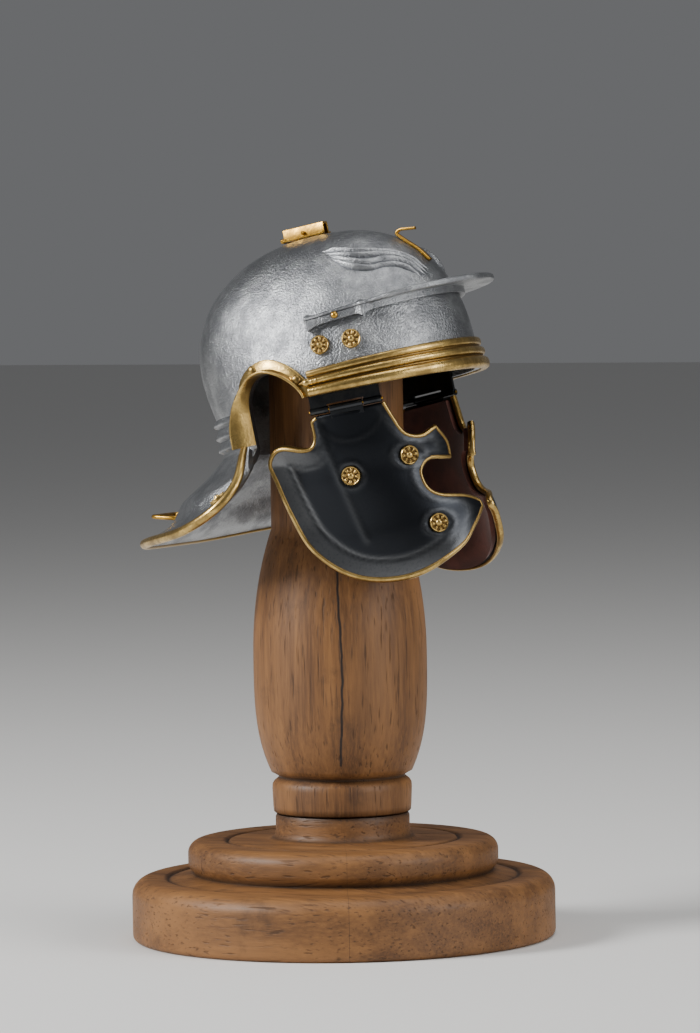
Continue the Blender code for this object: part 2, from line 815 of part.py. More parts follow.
def make_visor(frame, tin):
    """Peak with a leaf against the bowl, which runs back on each side as the fixing plate."""
    limit = turn_at(VISOR_END, VISOR_HEIGHT)
    peak_limit = turn_at(VISOR_PEAK_START, VISOR_HEIGHT)
    rings = []
    for station in range(BAND_STATIONS):
        turn = limit * (2.0 * station / (BAND_STATIONS - 1) - 1.0)
        forward = -bowl_point(turn, VISOR_HEIGHT).y
        top = VISOR_HEIGHT + VISOR_RISE * forward
        peak = max(0.0, 1.0 - (turn / peak_limit) ** 2) ** 0.8
        projection = VISOR_LEAF_THICKNESS + 0.1 * MM + (VISOR_PROJECTION - VISOR_LEAF_THICKNESS) * peak
        rim = VISOR_RIM * (0.55 + 0.45 * peak)
        bottom = top - VISOR_LEAF_HEIGHT
        outward = plan_normal(turn, top)
        section = (
            (SEAT_GAP, bottom),
            (SEAT_GAP, top),
            (SEAT_GAP + projection, top + 0.25 * MM * peak),
            (SEAT_GAP + projection, top + 0.25 * MM * peak - rim),
            (SEAT_GAP + VISOR_LEAF_THICKNESS, top - 0.55 * MM),
            (SEAT_GAP + VISOR_LEAF_THICKNESS, bottom),
        )
        ring = []
        for out, height in section:
            point = bowl_point(turn, height) + outward * out
            point.z = height
            ring.append(point)
        inner = bowl_point(turn, bottom) + outward * SEAT_GAP
        ring[1] = Vector((inner.x, inner.y, top))
        for corner in (2, 3, 4):
            ring[corner] = inner + outward * (section[corner][0] - SEAT_GAP)
            ring[corner].z = section[corner][1]
        rings.append(ring)
    bm = bmesh.new()
    loft(bm, rings)
    finish_piece("visor", bm, tin, frame)


# Bosses and rivets


def seat_matrix(point, normal):
    rotation = Vector((0.0, 0.0, 1.0)).rotation_difference(normal)
    return Matrix.Translation(point) @ rotation.to_matrix().to_4x4()


def make_boss(name, point, normal, radius, height, sides, parent, brass):
    """Domed stud with a flat back, its origin on the face that carries it."""
    profile = [
        (0.0, height),
        (0.55 * radius, 0.72 * height),
        (radius, 0.4 * height),
        (radius, 0.0),
        (0.0, 0.0),
    ]
    seat = point + normal * SEAT_GAP
    finish_piece(name, turn_profile(profile, sides), brass, parent, seat_matrix(seat, normal))


def make_bowl_bosses(frame, brass):
    for name, side in SIDES.items():
        for number, (forward, height) in enumerate(BOWL_BOSSES):
            turn = side * turn_at(forward, height)
            point, normal = bowl_point(turn, height), bowl_normal(turn, height)
            sagitta = ROSETTE_RADIUS**2 / (2 * BOWL_HALF_WIDTH)
            make_boss(
                f"bowl_rosette_{name}_{number + 1}",
                point,
                normal,
                ROSETTE_RADIUS,
                ROSETTE_HEIGHT + sagitta,
                10,
                frame,
                brass,
            )


def make_ear_rivets(frame, brass):
    """Two rivets through the leg of each ear guard."""
    path = ear_path(EAR_STATIONS)
    for name, side in SIDES.items():
        for number, share in enumerate((0.5, 0.9)):
            station = path[round(share * (EAR_STATIONS - 1))]
            height = station.y + 0.5 * EAR_GUARD_LEG + EAR_GUARD_THICKNESS
            turn = side * turn_at(station.x, height)
            normal = bowl_normal(turn, height)
            point = bowl_point(turn, height) + normal * (SEAT_GAP + EAR_GUARD_THICKNESS)
            make_boss(
                f"ear_rivet_{name}_{number + 1}", point, normal, RIVET_RADIUS, RIVET_HEIGHT, 8, frame, brass
            )


def make_visor_studs(frame, brass):
    forward = (VISOR_END + VISOR_PEAK_START) / 2
    for name, side in SIDES.items():
        height = VISOR_HEIGHT + VISOR_RISE * forward - VISOR_LEAF_HEIGHT / 2
        turn = side * turn_at(forward, height)
        normal = plan_normal(turn, height)
        thickness = VISOR_LEAF_THICKNESS + 0.35 * MM
        point = bowl_point(turn, height) + normal * (SEAT_GAP + thickness)
        make_boss(f"visor_stud_{name}", point, normal, RIVET_RADIUS, RIVET_HEIGHT, 8, frame, brass)


def make_neck_bosses(frame, brass, first_turn):
    turn = math.radians(NECK_BOSS_TURN)
    for name, side in SIDES.items():
        mirror = Matrix.Diagonal((side, 1.0, 1.0, 1.0))
        centre, outer, around = (
            neck_top_point(turn + step, *spot, 0.0, first_turn)
            for step, spot in ((0.0, NECK_BOSS_SPOT), (0.0, NECK_BOSS_BEYOND), (NECK_BOSS_STEP, NECK_BOSS_SPOT))
        )
        normal = (outer - centre).cross(around - centre).normalized()
        normal *= math.copysign(1.0, normal.z)
        make_boss(
            f"neck_rosette_{name}",
            mirror @ (centre + normal * NECK_ROSETTE_LIFT),
            mirror @ normal,
            NECK_ROSETTE_RADIUS,
            ROSETTE_HEIGHT,
            10,
            frame,
            brass,
        )


# Crest fittings and handle


def make_crest_holder(frame, brass):
    """Hat-section channel along the crown, open at both ends, with a cross pin."""
    half = CREST_WIDTH / 2
    sheet = CREST_SHEET
    foot = half + CREST_FOOT
    outline = (
        (-foot, 0.0),
        (-half + sheet, 0.0),
        (-half + sheet, CREST_HEIGHT - sheet),
        (half - sheet, CREST_HEIGHT - sheet),
        (half - sheet, 0.0),
        (foot, 0.0),
        (foot, sheet),
        (half, sheet),
        (half, CREST_HEIGHT),
        (-half, CREST_HEIGHT),
        (-half, sheet),
        (-foot, sheet),
    )
    seat = CROWN_HEIGHT + SEAT_GAP
    bm = bmesh.new()
    rings = []
    for end in (-0.5, 0.5):
        y = CREST_BACK + end * CREST_LENGTH
        rings.append([Vector((x, y, seat + z)) for x, z in outline])
    loft(bm, rings)
    finish_piece("crest_holder", bm, brass, frame, sharp=20.0)
    length = CREST_FOOT * 0.8
    start = Vector((-half - SEAT_GAP, CREST_BACK, seat + sheet + CREST_PIN_RADIUS * 1.6))
    rod("crest_pin", start, start - Vector((length, 0.0, 0.0)), CREST_PIN_RADIUS, 8, frame, brass)


def rod(name, start, end, radius, sides, parent, material):
    axis = (end - start).normalized()
    across = axis.orthogonal().normalized()
    other = axis.cross(across)
    rings = []
    for centre in (start, end):
        ring = []
        for corner in range(sides):
            angle = math.tau * corner / sides
            ring.append(centre + (across * math.cos(angle) + other * math.sin(angle)) * radius)
        rings.append(ring)
    bm = bmesh.new()
    loft(bm, rings)
    return finish_piece(name, bm, material, parent)


def make_strip(name, path, width, thickness, frame, brass):
    """Bent strip of metal along a path in the helmet's middle plane, given as (y, z) points."""
    points = [Vector((0.0, y, z)) for y, z in path]
    rings = []
    for index, point in enumerate(points):
        along = tangent(points, index)
        normal = Vector((1.0, 0.0, 0.0)).cross(along).normalized()
        ring = []
        for across, out in ((-0.5, -0.5), (0.5, -0.5), (0.5, 0.5), (-0.5, 0.5)):
            ring.append(point + Vector((across * width, 0.0, 0.0)) + normal * out * thickness)
        rings.append(ring)
    bm = bmesh.new()
    loft(bm, rings)
    finish_piece(name, bm, brass, frame, sharp=50.0)


def make_hooks(frame, brass):
    """Crest hooks in front and behind, each a strip that leaves the bowl's face and turns over."""
    lift = SEAT_GAP + HOOK_THICKNESS / 2
    front = []
    for height in (0.69, 0.77, 0.845):
        point = bowl_point(0.0, height * CROWN_HEIGHT) + bowl_normal(0.0, height * CROWN_HEIGHT) * lift
        front.append((point.y, point.z))
    end_y, end_z = front[-1]
    front += [
        (end_y + 0.75 * MM, end_z + 0.75 * MM),
        (end_y + 0.5 * MM, end_z + 1.25 * MM),
        (end_y - 0.4 * MM, end_z + 1.4 * MM),
        (end_y - 2.0 * MM, end_z + 1.2 * MM),
    ]
    make_strip("front_hook", front, HOOK_WIDTH, HOOK_THICKNESS, frame, brass)
    rear = []
    for height in (0.79, 0.73):
        point = bowl_point(math.pi, height * CROWN_HEIGHT) + bowl_normal(math.pi, height * CROWN_HEIGHT) * lift
        rear.append((point.y, point.z))
    end_y, end_z = rear[-1]
    rear += [(end_y + 0.7 * MM, end_z - 0.9 * MM), (end_y + 1.7 * MM, end_z - 1.9 * MM)]
    make_strip("rear_hook", rear, HOOK_WIDTH, HOOK_THICKNESS, frame, brass)


def neck_surface_at(back):
    """Height of the neck guard's upper face in the middle plane, at a distance behind the centre."""
    nape = bowl_point(math.pi, 0.0).y
    rows = [(0.0, 0.0, 0.0), *NECK_ROWS]
    for (out_a, drop_a, crest_a), (out_b, drop_b, crest_b) in zip(rows, rows[1:]):
        start = nape + (NECK_REACH - nape) * out_a
        end = nape + (NECK_REACH - nape) * out_b
        if start <= back <= end:
            share = (back - start) / (end - start)
            drop = drop_a + (drop_b - drop_a) * share
            crest = crest_a + (crest_b - crest_a) * share
            return -NAPE_DEPTH - (NECK_DROP - NAPE_DEPTH) * drop + NECK_CREST_HEIGHT * crest
    return -NECK_DROP


def make_handle(frame, brass):
    """Carrying handle: a round bail that swings in two eyes on the neck guard."""
    inner = HANDLE_RADIUS + EYE_CLEARANCE
    slope = (NECK_DROP - NAPE_DEPTH) / (NECK_REACH - bowl_point(math.pi, 0.0).y)
    stand_off = (inner + 2.0 * EYE_WIRE) * math.sqrt(1.0 + slope**2) + SEAT_GAP
    pivot = Vector((0.0, HANDLE_BACK, neck_surface_at(HANDLE_BACK) + stand_off))
    hinge = make_empty("handle_hinge", frame, Matrix.Translation(pivot))
    eye_at = HANDLE_HALF_WIDTH - HANDLE_RADIUS - 0.9 * MM
    for name, side in SIDES.items():
        bm = bmesh.new()
        rings = []
        for corner in range(10):
            angle = math.tau * corner / 10
            spoke = Vector((0.0, math.cos(angle), math.sin(angle)))
            centre = pivot + Vector((side * eye_at, 0.0, 0.0)) + spoke * (inner + EYE_WIRE)
            ring = []
            for turn in range(5):
                around = math.tau * turn / 5
                ring.append(
                    centre
                    + spoke * EYE_WIRE * math.cos(around)
                    + Vector((1.0, 0.0, 0.0)) * EYE_WIRE * math.sin(around)
                )
            rings.append(ring)
        loft(bm, rings, closed=True)
        finish_piece(f"handle_eye_{name}", bm, brass, frame)
    reach = Vector((0.0, math.cos(HANDLE_LIFT), math.sin(HANDLE_LIFT))) * HANDLE_LENGTH
    wide = Vector((HANDLE_HALF_WIDTH, 0.0, 0.0))
    toe = Vector((eye_at - EYE_WIRE - 0.5 * MM, 0.0, 0.0))
    corner = 0.7 * MM
    knee = Vector((HANDLE_HALF_WIDTH - corner, 0.0, 0.0))
    half = [toe, knee, wide + reach * 0.18, wide + reach * 0.80, knee + reach]
    path = [Vector((-point.x, point.y, point.z)) for point in half]
    path += list(reversed(half))
    rings = []
    for index, point in enumerate(path):
        along = tangent(path, index)
        normal = Vector((0.0, -math.sin(HANDLE_LIFT), math.cos(HANDLE_LIFT)))
        across = along.cross(normal).normalized()
        ring = []
        for turn in range(6):
            angle = math.tau * turn / 6
            ring.append(point + (across * math.cos(angle) + normal * math.sin(angle)) * HANDLE_RADIUS)
        rings.append(ring)
    bm = bmesh.new()
    loft(bm, rings)
    finish_piece("carrying_handle", bm, brass, hinge)


# Cheek guards


def hinge_points():
    """Rear and front ends of the hinge axis on the positive side, inside the bowl's wall."""
    points = []
    for forward in (HINGE_REAR, HINGE_FRONT):
        side = half_width_at(forward, 0.0, WALL) - SEAT_GAP - HINGE_SHEET
        points.append(Vector((side, -forward, -HINGE_DROP)))
    return points


def cheek_plan(share):
    """Half width and reach of the cheek guard's plan curve at a share of its depth."""
    rear, front = hinge_points()
    ratio = (rear.x**2 - front.x**2) / (front.y**2 - rear.y**2)
    half_width = math.sqrt(rear.x**2 + ratio * rear.y**2)
    reach = half_width / math.sqrt(ratio)
    rows = CHEEK_PLAN
    share = min(max(share, rows[0][0]), rows[-1][0])
    for (start, wide_a, far_a), (end, wide_b, far_b) in zip(rows, rows[1:]):
        if share <= end:
            t = (share - start) / (end - start)
            t = t * t * (3.0 - 2.0 * t) * 0.5 + t * 0.5
            return half_width * (wide_a + (wide_b - wide_a) * t), reach * (far_a + (far_b - far_a) * t)
    return half_width, reach


CHEEK_TOP = HINGE_DROP + KNUCKLE_RADIUS + 0.1 * MM
CHEEK_REAR = -0.715 * CHEEK_LENGTH + HINGE_FRONT + 0.1 * MM


def cheek_plane(length_share, depth_share):
    """Place on the guard's side view, (forward, drop), from the shares in the tables."""
    return Vector((CHEEK_REAR + length_share * CHEEK_LENGTH, CHEEK_TOP + depth_share * CHEEK_DEPTH))


def cheek_outline():
    """Outline of the guard in side view, open at the hinge, with the flare at each point."""
    rows = [(cheek_plane(length, depth), kind, flare) for length, depth, kind, flare in CHEEK_OUTLINE]
    result = []
    start = 0
    while start < len(rows) - 1:
        end = start + 1
        while rows[end][1] == "round":
            end += 1
        knots = [Vector((*place, flare)) for place, kind, flare in rows[start : end + 1]]
        curve = spline(knots, 10) if len(knots) > 2 else knots
        length = sum((b - a).xy.length for a, b in zip(curve, curve[1:]))
        pieces = max(1, round(length / CHEEK_EDGE_STEP))
        result += resample(curve, pieces + 1)[:-1]
        start = end
    result.append(Vector((*rows[-1][0], rows[-1][2])))
    return [(point.xy, min(max(point.z, 0.0), 1.0)) for point in result]


def cheek_flare(place, outline):
    """How far the turned-out edge stands from the plain plan curve at a place of the side view."""
    distance = math.inf
    flare = 0.0
    for (start, flare_a), (end, flare_b) in zip(outline, outline[1:]):
        foot, share = intersect_point_line(place, start, end)
        share = min(max(share, 0.0), 1.0)
        away = (place - start.lerp(end, share)).length
        if away < distance and max(flare_a, flare_b) > 0.0:
            distance = away
            flare = flare_a + (flare_b - flare_a) * share
    if distance > CHEEK_FLARE_WIDTH:
        return 0.0
    if distance_inside(place, [corner for corner, share in outline]) < 0.0:
        distance = -distance
    return CHEEK_FLARE * flare * (1.0 - distance / CHEEK_FLARE_WIDTH) ** 1.3


def cheek_point(place, outline, side, inset=0.0):
    half_width, reach = cheek_plan((place.y - CHEEK_TOP) / CHEEK_DEPTH)
    across = half_width * math.sqrt(max(0.02, 1.0 - (place.x / reach) ** 2))
    across += cheek_flare(place, outline)
    point = Vector((side * across, -place.x, -place.y))
    return point + cheek_normal(place, outline, side) * -inset if inset else point


def cheek_normal(place, outline, side):
    step = 0.2 * MM
    ahead = cheek_point(place + Vector((step, 0.0)), outline, side)
    behind = cheek_point(place - Vector((step, 0.0)), outline, side)
    below = cheek_point(place + Vector((0.0, step)), outline, side)
    above = cheek_point(place - Vector((0.0, step)), outline, side)
    normal = (ahead - behind).cross(above - below).normalized()
    return normal if normal.x * side > 0.0 else -normal


def shrink(outline, distance):
    """The outline drawn in by a distance, point by point."""
    places = [place for place, flare in outline]
    result = []
    for index, (place, flare) in enumerate(outline):
        before = (place - places[index - 1]).normalized()
        after = (places[(index + 1) % len(places)] - place).normalized()
        bisector = Vector((-(before + after).y, (before + after).x)).normalized()
        stretch = max(0.6, abs(bisector.dot(Vector((-before.y, before.x)))))
        result.append((place + bisector * distance / stretch, flare))
    return result


def fold_places(outline, step):
    """Places along the fold of the turned-out edge and half way up it."""
    places = [place for place, flare in outline]
    result = []
    for share in (1.0, 0.45):
        width = share * CHEEK_FLARE_WIDTH
        for place, flare in shrink(outline, width):
            crowded = any((place - other).length < 0.25 * step for other in result)
            if flare > 0.3 and not crowded and distance_inside(place, places) > 0.9 * width:
                result.append(place)
    return result


def fill_outline(places, folds, step):
    """Triangles inside an outline, with points along the folds and a grid of points elsewhere."""
    points = list(places)
    points += [place for place in folds if distance_inside(place, places) > 0.25 * step]
    low = [min(p[axis] for p in places) for axis in (0, 1)]
    high = [max(p[axis] for p in places) for axis in (0, 1)]
    for row in range(math.floor(low[1] / step), math.ceil(high[1] / step) + 1):
        for column in range(math.floor(low[0] / step) - 1, math.ceil(high[0] / step) + 1):
            place = Vector(((column + 0.5 * (row % 2)) * step, row * step))
            spacing = min((place - other).length for other in points)
            if spacing > 0.55 * step and distance_inside(place, places) > 0.4 * step:
                points.append(place)
    loop = [list(range(len(places)))]
    verts, edges, faces, *rest = delaunay_2d_cdt([point / MM for point in points], [], loop, 1, 1e-5)
    return [vert * MM for vert in verts], faces


def distance_inside(place, places):
    """Distance from a place inside an outline to its edge, or -1 outside it."""
    inside = False
    nearest = math.inf
    for start, end in zip(places, places[1:] + places[:1]):
        if (start.y > place.y) != (end.y > place.y):
            crossing = start.x + (place.y - start.y) * (end.x - start.x) / (end.y - start.y)
            if place.x < crossing:
                inside = not inside
        foot, share = intersect_point_line(place, start, end)
        nearest = min(nearest, (place - start.lerp(end, min(max(share, 0.0), 1.0))).length)
    return nearest if inside else -1.0


def cheek_slab(bm, shape, outline, side, outer, thickness, step):
    """Closed plate that follows the guard's surface inside a side-view shape."""
    border = [place for place, flare in shape]
    places, faces = fill_outline(border, fold_places(outline, step), step)
    outside = [cheek_point(place, outline, side, outer) for place in places]
    inside = [cheek_point(place, outline, side, outer + thickness) for place in places]
    close_shell(bm, outside, inside, faces)


def tube_bm(start, end, outer, inner, sides=10):
    """Straight tube with a clear bore."""
    axis = (end - start).normalized()
    across = axis.orthogonal().normalized()
    other = axis.cross(across)
    rings = []
    for centre, radius in ((start, outer), (end, outer), (end, inner), (start, inner)):
        ring = []
        for corner in range(sides):
            angle = math.tau * corner / sides
            ring.append(centre + (across * math.cos(angle) + other * math.sin(angle)) * radius)
        rings.append(ring)
    bm = bmesh.new()
    loft(bm, rings, closed=True)
    return bm


def plate_bm(start, end, outline, thickness):
    """Upright flat plate over the line from start to end; its outline is (share along the line, height)."""
    across = (end - start).cross(Vector((0.0, 0.0, 1.0))).normalized() * thickness / 2
    rings = []
    for sign in (-1, 1):
        ring = []
        for share, height in outline:
            corner = start.lerp(end, share) + across * sign
            corner.z = height
            ring.append(corner)
        rings.append(ring)
    bm = bmesh.new()
    loft(bm, rings)
    return bm


def make_hinge(name, side, frame, brass):
    """Fixed leaf inside the bowl with its two knuckles, and the pin."""
    rear, front = (Vector((side * point.x, point.y, point.z)) for point in hinge_points())
    length = (front - rear).length
    bore = PIN_RADIUS + PIN_CLEARANCE
    gap = KNUCKLE_GAP / length
    inset = 0.1 * MM / length
    low_share = 0.5 - CHEEK_KNUCKLE_SHARE / 2 - gap
    high_share = 0.5 + CHEEK_KNUCKLE_SHARE / 2 + gap
    low = -HINGE_DROP + (bore + KNUCKLE_RADIUS) / 2
    notch = -HINGE_DROP + KNUCKLE_RADIUS + KNUCKLE_GAP
    outline = (
        (inset, low),
        (low_share - inset, low),
        (low_share - inset, notch),
        (high_share + inset, notch),
        (high_share + inset, low),
        (1.0 - inset, low),
        (1.0 - inset, HINGE_LEAF_TOP),
        (inset, HINGE_LEAF_TOP),
    )
    leaf = finish_piece(f"hinge_leaf_{name}", plate_bm(rear, front, outline, HINGE_SHEET), brass, frame)
    for number, (start, end) in enumerate(((0.0, low_share), (high_share, 1.0))):
        knuckle_bm = tube_bm(rear.lerp(front, start), rear.lerp(front, end), KNUCKLE_RADIUS, bore)
        knuckle = finish_piece(f"leaf_knuckle_{name}_{number + 1}", knuckle_bm, brass, frame)
        join_with(leaf, knuckle, "UNION")
    axis = (front - rear).normalized()
    rod(f"hinge_pin_{name}", rear - axis * 0.2 * MM, front + axis * 0.2 * MM, PIN_RADIUS, 8, frame, brass)
    return rear.lerp(front, 0.5), axis


def make_cheek_guard(name, side, frame, tin, brass, leather):
    """One guard: its sheet with the swinging knuckle, brass edge, three bosses and leather lining."""
    middle, axis = make_hinge(name, side, frame, brass)
    hinge = make_empty(f"cheek_hinge_{name}", frame, Matrix.Translation(middle))
    outline = cheek_outline()
    to_hinge = Matrix.Translation(-middle)

    bm = bmesh.new()
    cheek_slab(bm, outline, outline, side, 0.0, CHEEK_SHEET, CHEEK_GRID_STEP)
    bm.transform(to_hinge)
    guard = finish_piece(f"cheek_guard_{name}", bm, tin, hinge)
    rear, front = (Vector((side * point.x, point.y, point.z)) for point in hinge_points())
    bore = PIN_RADIUS + PIN_CLEARANCE
    start = rear.lerp(front, 0.5 - CHEEK_KNUCKLE_SHARE / 2)
    end = rear.lerp(front, 0.5 + CHEEK_KNUCKLE_SHARE / 2)
    top = -HINGE_DROP - (bore + KNUCKLE_RADIUS) / 2
    foot = -(CHEEK_TOP + 0.8 * MM)
    tongue = plate_bm(start, end, ((0.02, foot), (0.98, foot), (0.98, top), (0.02, top)), HINGE_SHEET)
    for part, part_bm in (("tongue", tongue), ("knuckle", tube_bm(start, end, KNUCKLE_RADIUS, bore))):
        part_bm.transform(to_hinge)
        join_with(guard, finish_piece(f"cheek_{part}_{name}", part_bm, tin, hinge), "UNION")

    rings = []
    points = [cheek_point(place, outline, side) for place, flare in outline]
    for index, (place, flare) in enumerate(outline[:-1]):
        normal = cheek_normal(place, outline, side)
        outward = tangent(points, index).cross(normal).normalized() * side
        edge = (points[index + 1] - points[index]).cross(normal).normalized() * side
        outward /= max(0.6, outward.dot(edge))
        centre = points[index] - normal * CHEEK_SHEET / 2
        half = CHEEK_TRIM_THICKNESS / 2
        ring = []
        for out, up in ((0.0, -half), (CHEEK_TRIM_WIDTH, -half * 0.7), (CHEEK_TRIM_WIDTH, half * 0.7), (0.0, half)):
            ring.append(centre + outward * (CHEEK_TRIM_GAP + out) + normal * up)
        rings.append(ring)
    bm = bmesh.new()
    loft(bm, rings)
    bm.transform(to_hinge)
    finish_piece(f"cheek_trim_{name}", bm, brass, hinge)

    bm = bmesh.new()
    inner = shrink(outline, LINING_INSET)
    cheek_slab(bm, inner, outline, side, CHEEK_SHEET + LINING_GAP, LINING_THICKNESS, CHEEK_GRID_STEP)
    bm.transform(to_hinge)
    finish_piece(f"cheek_lining_{name}", bm, leather, hinge)

    for number, (length, depth) in enumerate(CHEEK_BOSSES):
        place = cheek_plane(length, depth)
        normal = cheek_normal(place, outline, side)
        point = cheek_point(place, outline, side) - middle + normal * 0.1 * MM
        boss_name = f"cheek_rosette_{name}_{number + 1}"
        make_boss(boss_name, point, normal, ROSETTE_RADIUS, ROSETTE_HEIGHT, 10, hinge, brass)


def main():
    clear_scene()
    wood = make_material("turned_wood", (0.27, 0.13, 0.055), 0.5, 0.0)
    tin = make_material("tinned_brass", (0.55, 0.56, 0.58), 0.35, 1.0)
    brass = make_material("brass", (0.78, 0.55, 0.2), 0.3, 1.0)
    leather = make_material("leather", (0.2, 0.06, 0.03), 0.8, 0.0)
    make_base(wood)
    make_post(wood)
    pose = Matrix.Translation((0.0, -HELMET_FORWARD, HELMET_HEIGHT)) @ Matrix.Rotation(-HELMET_PITCH, 4, "X")
    frame = make_empty("helmet_frame", None, pose)
    first_turn, rim = make_bowl(frame, tin)
    make_neck_trim(frame, brass, rim)
    make_brow_band(frame, brass)
    make_visor(frame, tin)
    make_bowl_bosses(frame, brass)
    make_ear_rivets(frame, brass)
    make_visor_studs(frame, brass)
    make_neck_bosses(frame, brass, first_turn)
    make_crest_holder(frame, brass)
    make_hooks(frame, brass)
    make_handle(frame, brass)
    for name, side in SIDES.items():
        make_ear_guard(name, side, frame, brass)
        make_cheek_guard(name, side, frame, tin, brass, leather)


main()
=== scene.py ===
"""Legionary helmet of a 1:6 collector's miniature on its turned wooden stand: the finished look.

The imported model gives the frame, and each operator below dresses one group of its pieces.
The helmet's own frame has its lower brow edge on z = 0, x is lateral and -y is forward.
"""

import json
import math

import bmesh
import bpy
import numpy as np
from bpy.props import FloatProperty, FloatVectorProperty, IntProperty, PointerProperty
from mathutils import Matrix, Vector
from mathutils.geometry import delaunay_2d_cdt


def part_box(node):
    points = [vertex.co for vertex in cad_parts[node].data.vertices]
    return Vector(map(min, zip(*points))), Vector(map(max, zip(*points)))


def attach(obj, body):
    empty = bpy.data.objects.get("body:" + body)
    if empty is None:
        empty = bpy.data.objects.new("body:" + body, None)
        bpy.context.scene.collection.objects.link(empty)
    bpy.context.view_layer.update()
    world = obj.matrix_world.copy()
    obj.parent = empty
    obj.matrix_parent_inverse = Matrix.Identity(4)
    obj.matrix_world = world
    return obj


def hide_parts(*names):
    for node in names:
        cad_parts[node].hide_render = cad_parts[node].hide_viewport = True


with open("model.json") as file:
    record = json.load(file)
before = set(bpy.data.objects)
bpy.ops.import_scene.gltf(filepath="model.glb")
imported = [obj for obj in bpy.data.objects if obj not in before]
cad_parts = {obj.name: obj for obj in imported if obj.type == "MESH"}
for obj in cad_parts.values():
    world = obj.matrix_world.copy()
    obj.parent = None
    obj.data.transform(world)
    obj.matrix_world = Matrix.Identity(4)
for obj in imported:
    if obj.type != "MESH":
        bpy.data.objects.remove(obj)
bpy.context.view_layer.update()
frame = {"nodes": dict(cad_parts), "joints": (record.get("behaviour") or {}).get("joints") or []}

bl_info = {
    "name": "Legionary Helmet Dresser",
    "version": (1, 0, 0),
    "blender": (4, 5, 0),
    "location": "View3D > Sidebar > Helmet",
    "description": "Dresses the packed legionary helmet and its wooden stand with fine pieces and finishes",
    "category": "Object",
}

MM = 0.001
ROOT = "helmet_and_stand"
SIDES = {"right": -1, "left": 1}
HELMET_FORWARD, HELMET_HEIGHT, HELMET_PITCH = 2.0 * MM, 76.8 * MM, math.radians(-11.5)
HELMET = Matrix.Translation((0.0, -HELMET_FORWARD, HELMET_HEIGHT)) @ Matrix.Rotation(HELMET_PITCH, 4, "X")

# Stand, in millimetres
SPINDLE_FOOT, COLLAR_HEIGHT = 17.8, 4.8
BELLY_RADIUS, BELLY_HEIGHT = 12.3, 39.5
NECK_RADIUS, NECK_RUN = 9.46, 18.5
GROOVE_WIDTH = 0.42
SPLIT_LOW, SPLIT_HIGH, SPLIT_FACING = 24.5, 61.0, math.radians(-155.0)

# Bowl and neck guard, in millimetres
WALL = 0.9
CROWN = 22.9
FRONT, REAR, SIDE = 19.4, 20.6, 17.0
FRONT_WIDEST, REAR_WIDEST = 2.0, 6.75
FRONT_FULLNESS, REAR_FULLNESS, SIDE_FULLNESS = 2.47, 2.17, 2.02
NAPE_TUCK = 1.1
EAR_REAR, EAR_FRONT, EAR_TOP_BACK, EAR_HEIGHT = 8.3, 1.1, 3.9, 4.3
NAPE_DEPTH = 5.4
NECK_REACH, NECK_HALF_WIDTH, NECK_DROP = 32.0, 23.5, 14.5
FIRST_TURN = math.radians(108.0)
NAPE_RIBS = (0.15, 0.49, 0.81)
NECK_RIM = (
    (0.90, 0.05, 0.46), (1.00, 0.18, 0.78), (0.94, 0.43, 0.97), (0.64, 0.80, 0.99), (0.38, 0.97, 1.0),
    (0.0, 1.0, 1.0),
)
NECK_ROWS = (
    (0.0, 0.0, 0.0),
    (0.10, 0.14, 0.2),
    (0.25, 0.34, 0.55),
    (0.42, 0.52, 0.9),
    (0.56, 0.66, 1.0),
    (0.64, 0.80, 0.3),
    (0.74, 0.89, 0.0),
    (0.88, 0.96, 0.0),
    (1.00, 1.00, 0.0),
)
NECK_CREST = 0.85
NECK_BOSS_TURN = math.radians(125.0)

# Fittings, in millimetres
BAND_END = 2.2
VISOR_HEIGHT, VISOR_RISE, VISOR_END, PEAK_START = 10.4, 0.1, 3.0, 11.0
ROSETTE_HEIGHT = 0.72
HANDLE_LENGTH, HANDLE_WIRE, HANDLE_LIFT = 3.9, 0.32, math.radians(14.0)
EYE_RADIUS, EYE_WIRE = 0.72, 0.25

# Camera: the photograph's height and the focal length, both in its pixels
PHOTO_HEIGHT, FOCAL_LENGTH = 1033.0, 5500.0


# Small geometry helpers; lengths are millimetres in the helmet's own frame


def spline(points, steps):
    """Catmull-Rom points through rows of numbers."""
    rows = [np.array(point, float) for point in points]
    ends = [2 * rows[0] - rows[1], *rows, 2 * rows[-1] - rows[-2]]
    result = []
    for before, start, end, after in zip(ends, ends[1:], ends[2:], ends[3:]):
        for step in range(steps):
            t = step / steps
            result.append(
                0.5
                * (
                    2 * start
                    + (end - before) * t
                    + (2 * before - 5 * start + 4 * end - after) * t**2
                    + (3 * start - before - 3 * end + after) * t**3
                )
            )
    result.append(rows[-1])
    return np.array(result)


def resample(points, count):
    """The same path with points at even spacing."""
    points = np.asarray(points, float)
    lengths = np.concatenate([[0.0], np.cumsum(np.linalg.norm(np.diff(points, axis=0), axis=1))])
    wanted = np.linspace(0.0, lengths[-1], count)
    return np.stack([np.interp(wanted, lengths, points[:, axis]) for axis in range(points.shape[1])], axis=1)


def tangents(points):
    ahead = np.vstack([points[1:], points[-1:]])
    behind = np.vstack([points[:1], points[:-1]])
    along = ahead - behind
    return along / np.linalg.norm(along, axis=1)[:, None]


def unit(vectors):
    return vectors / np.linalg.norm(vectors, axis=-1, keepdims=True)


def round_angles(sides):
    return np.linspace(0.0, math.tau, sides, endpoint=False)


def oval(centre, across, lift, sides):
    """Ring of points round a centre, from its two half axes."""
    angles = round_angles(sides)[:, None]
    return centre + np.cos(angles) * across + np.sin(angles) * lift


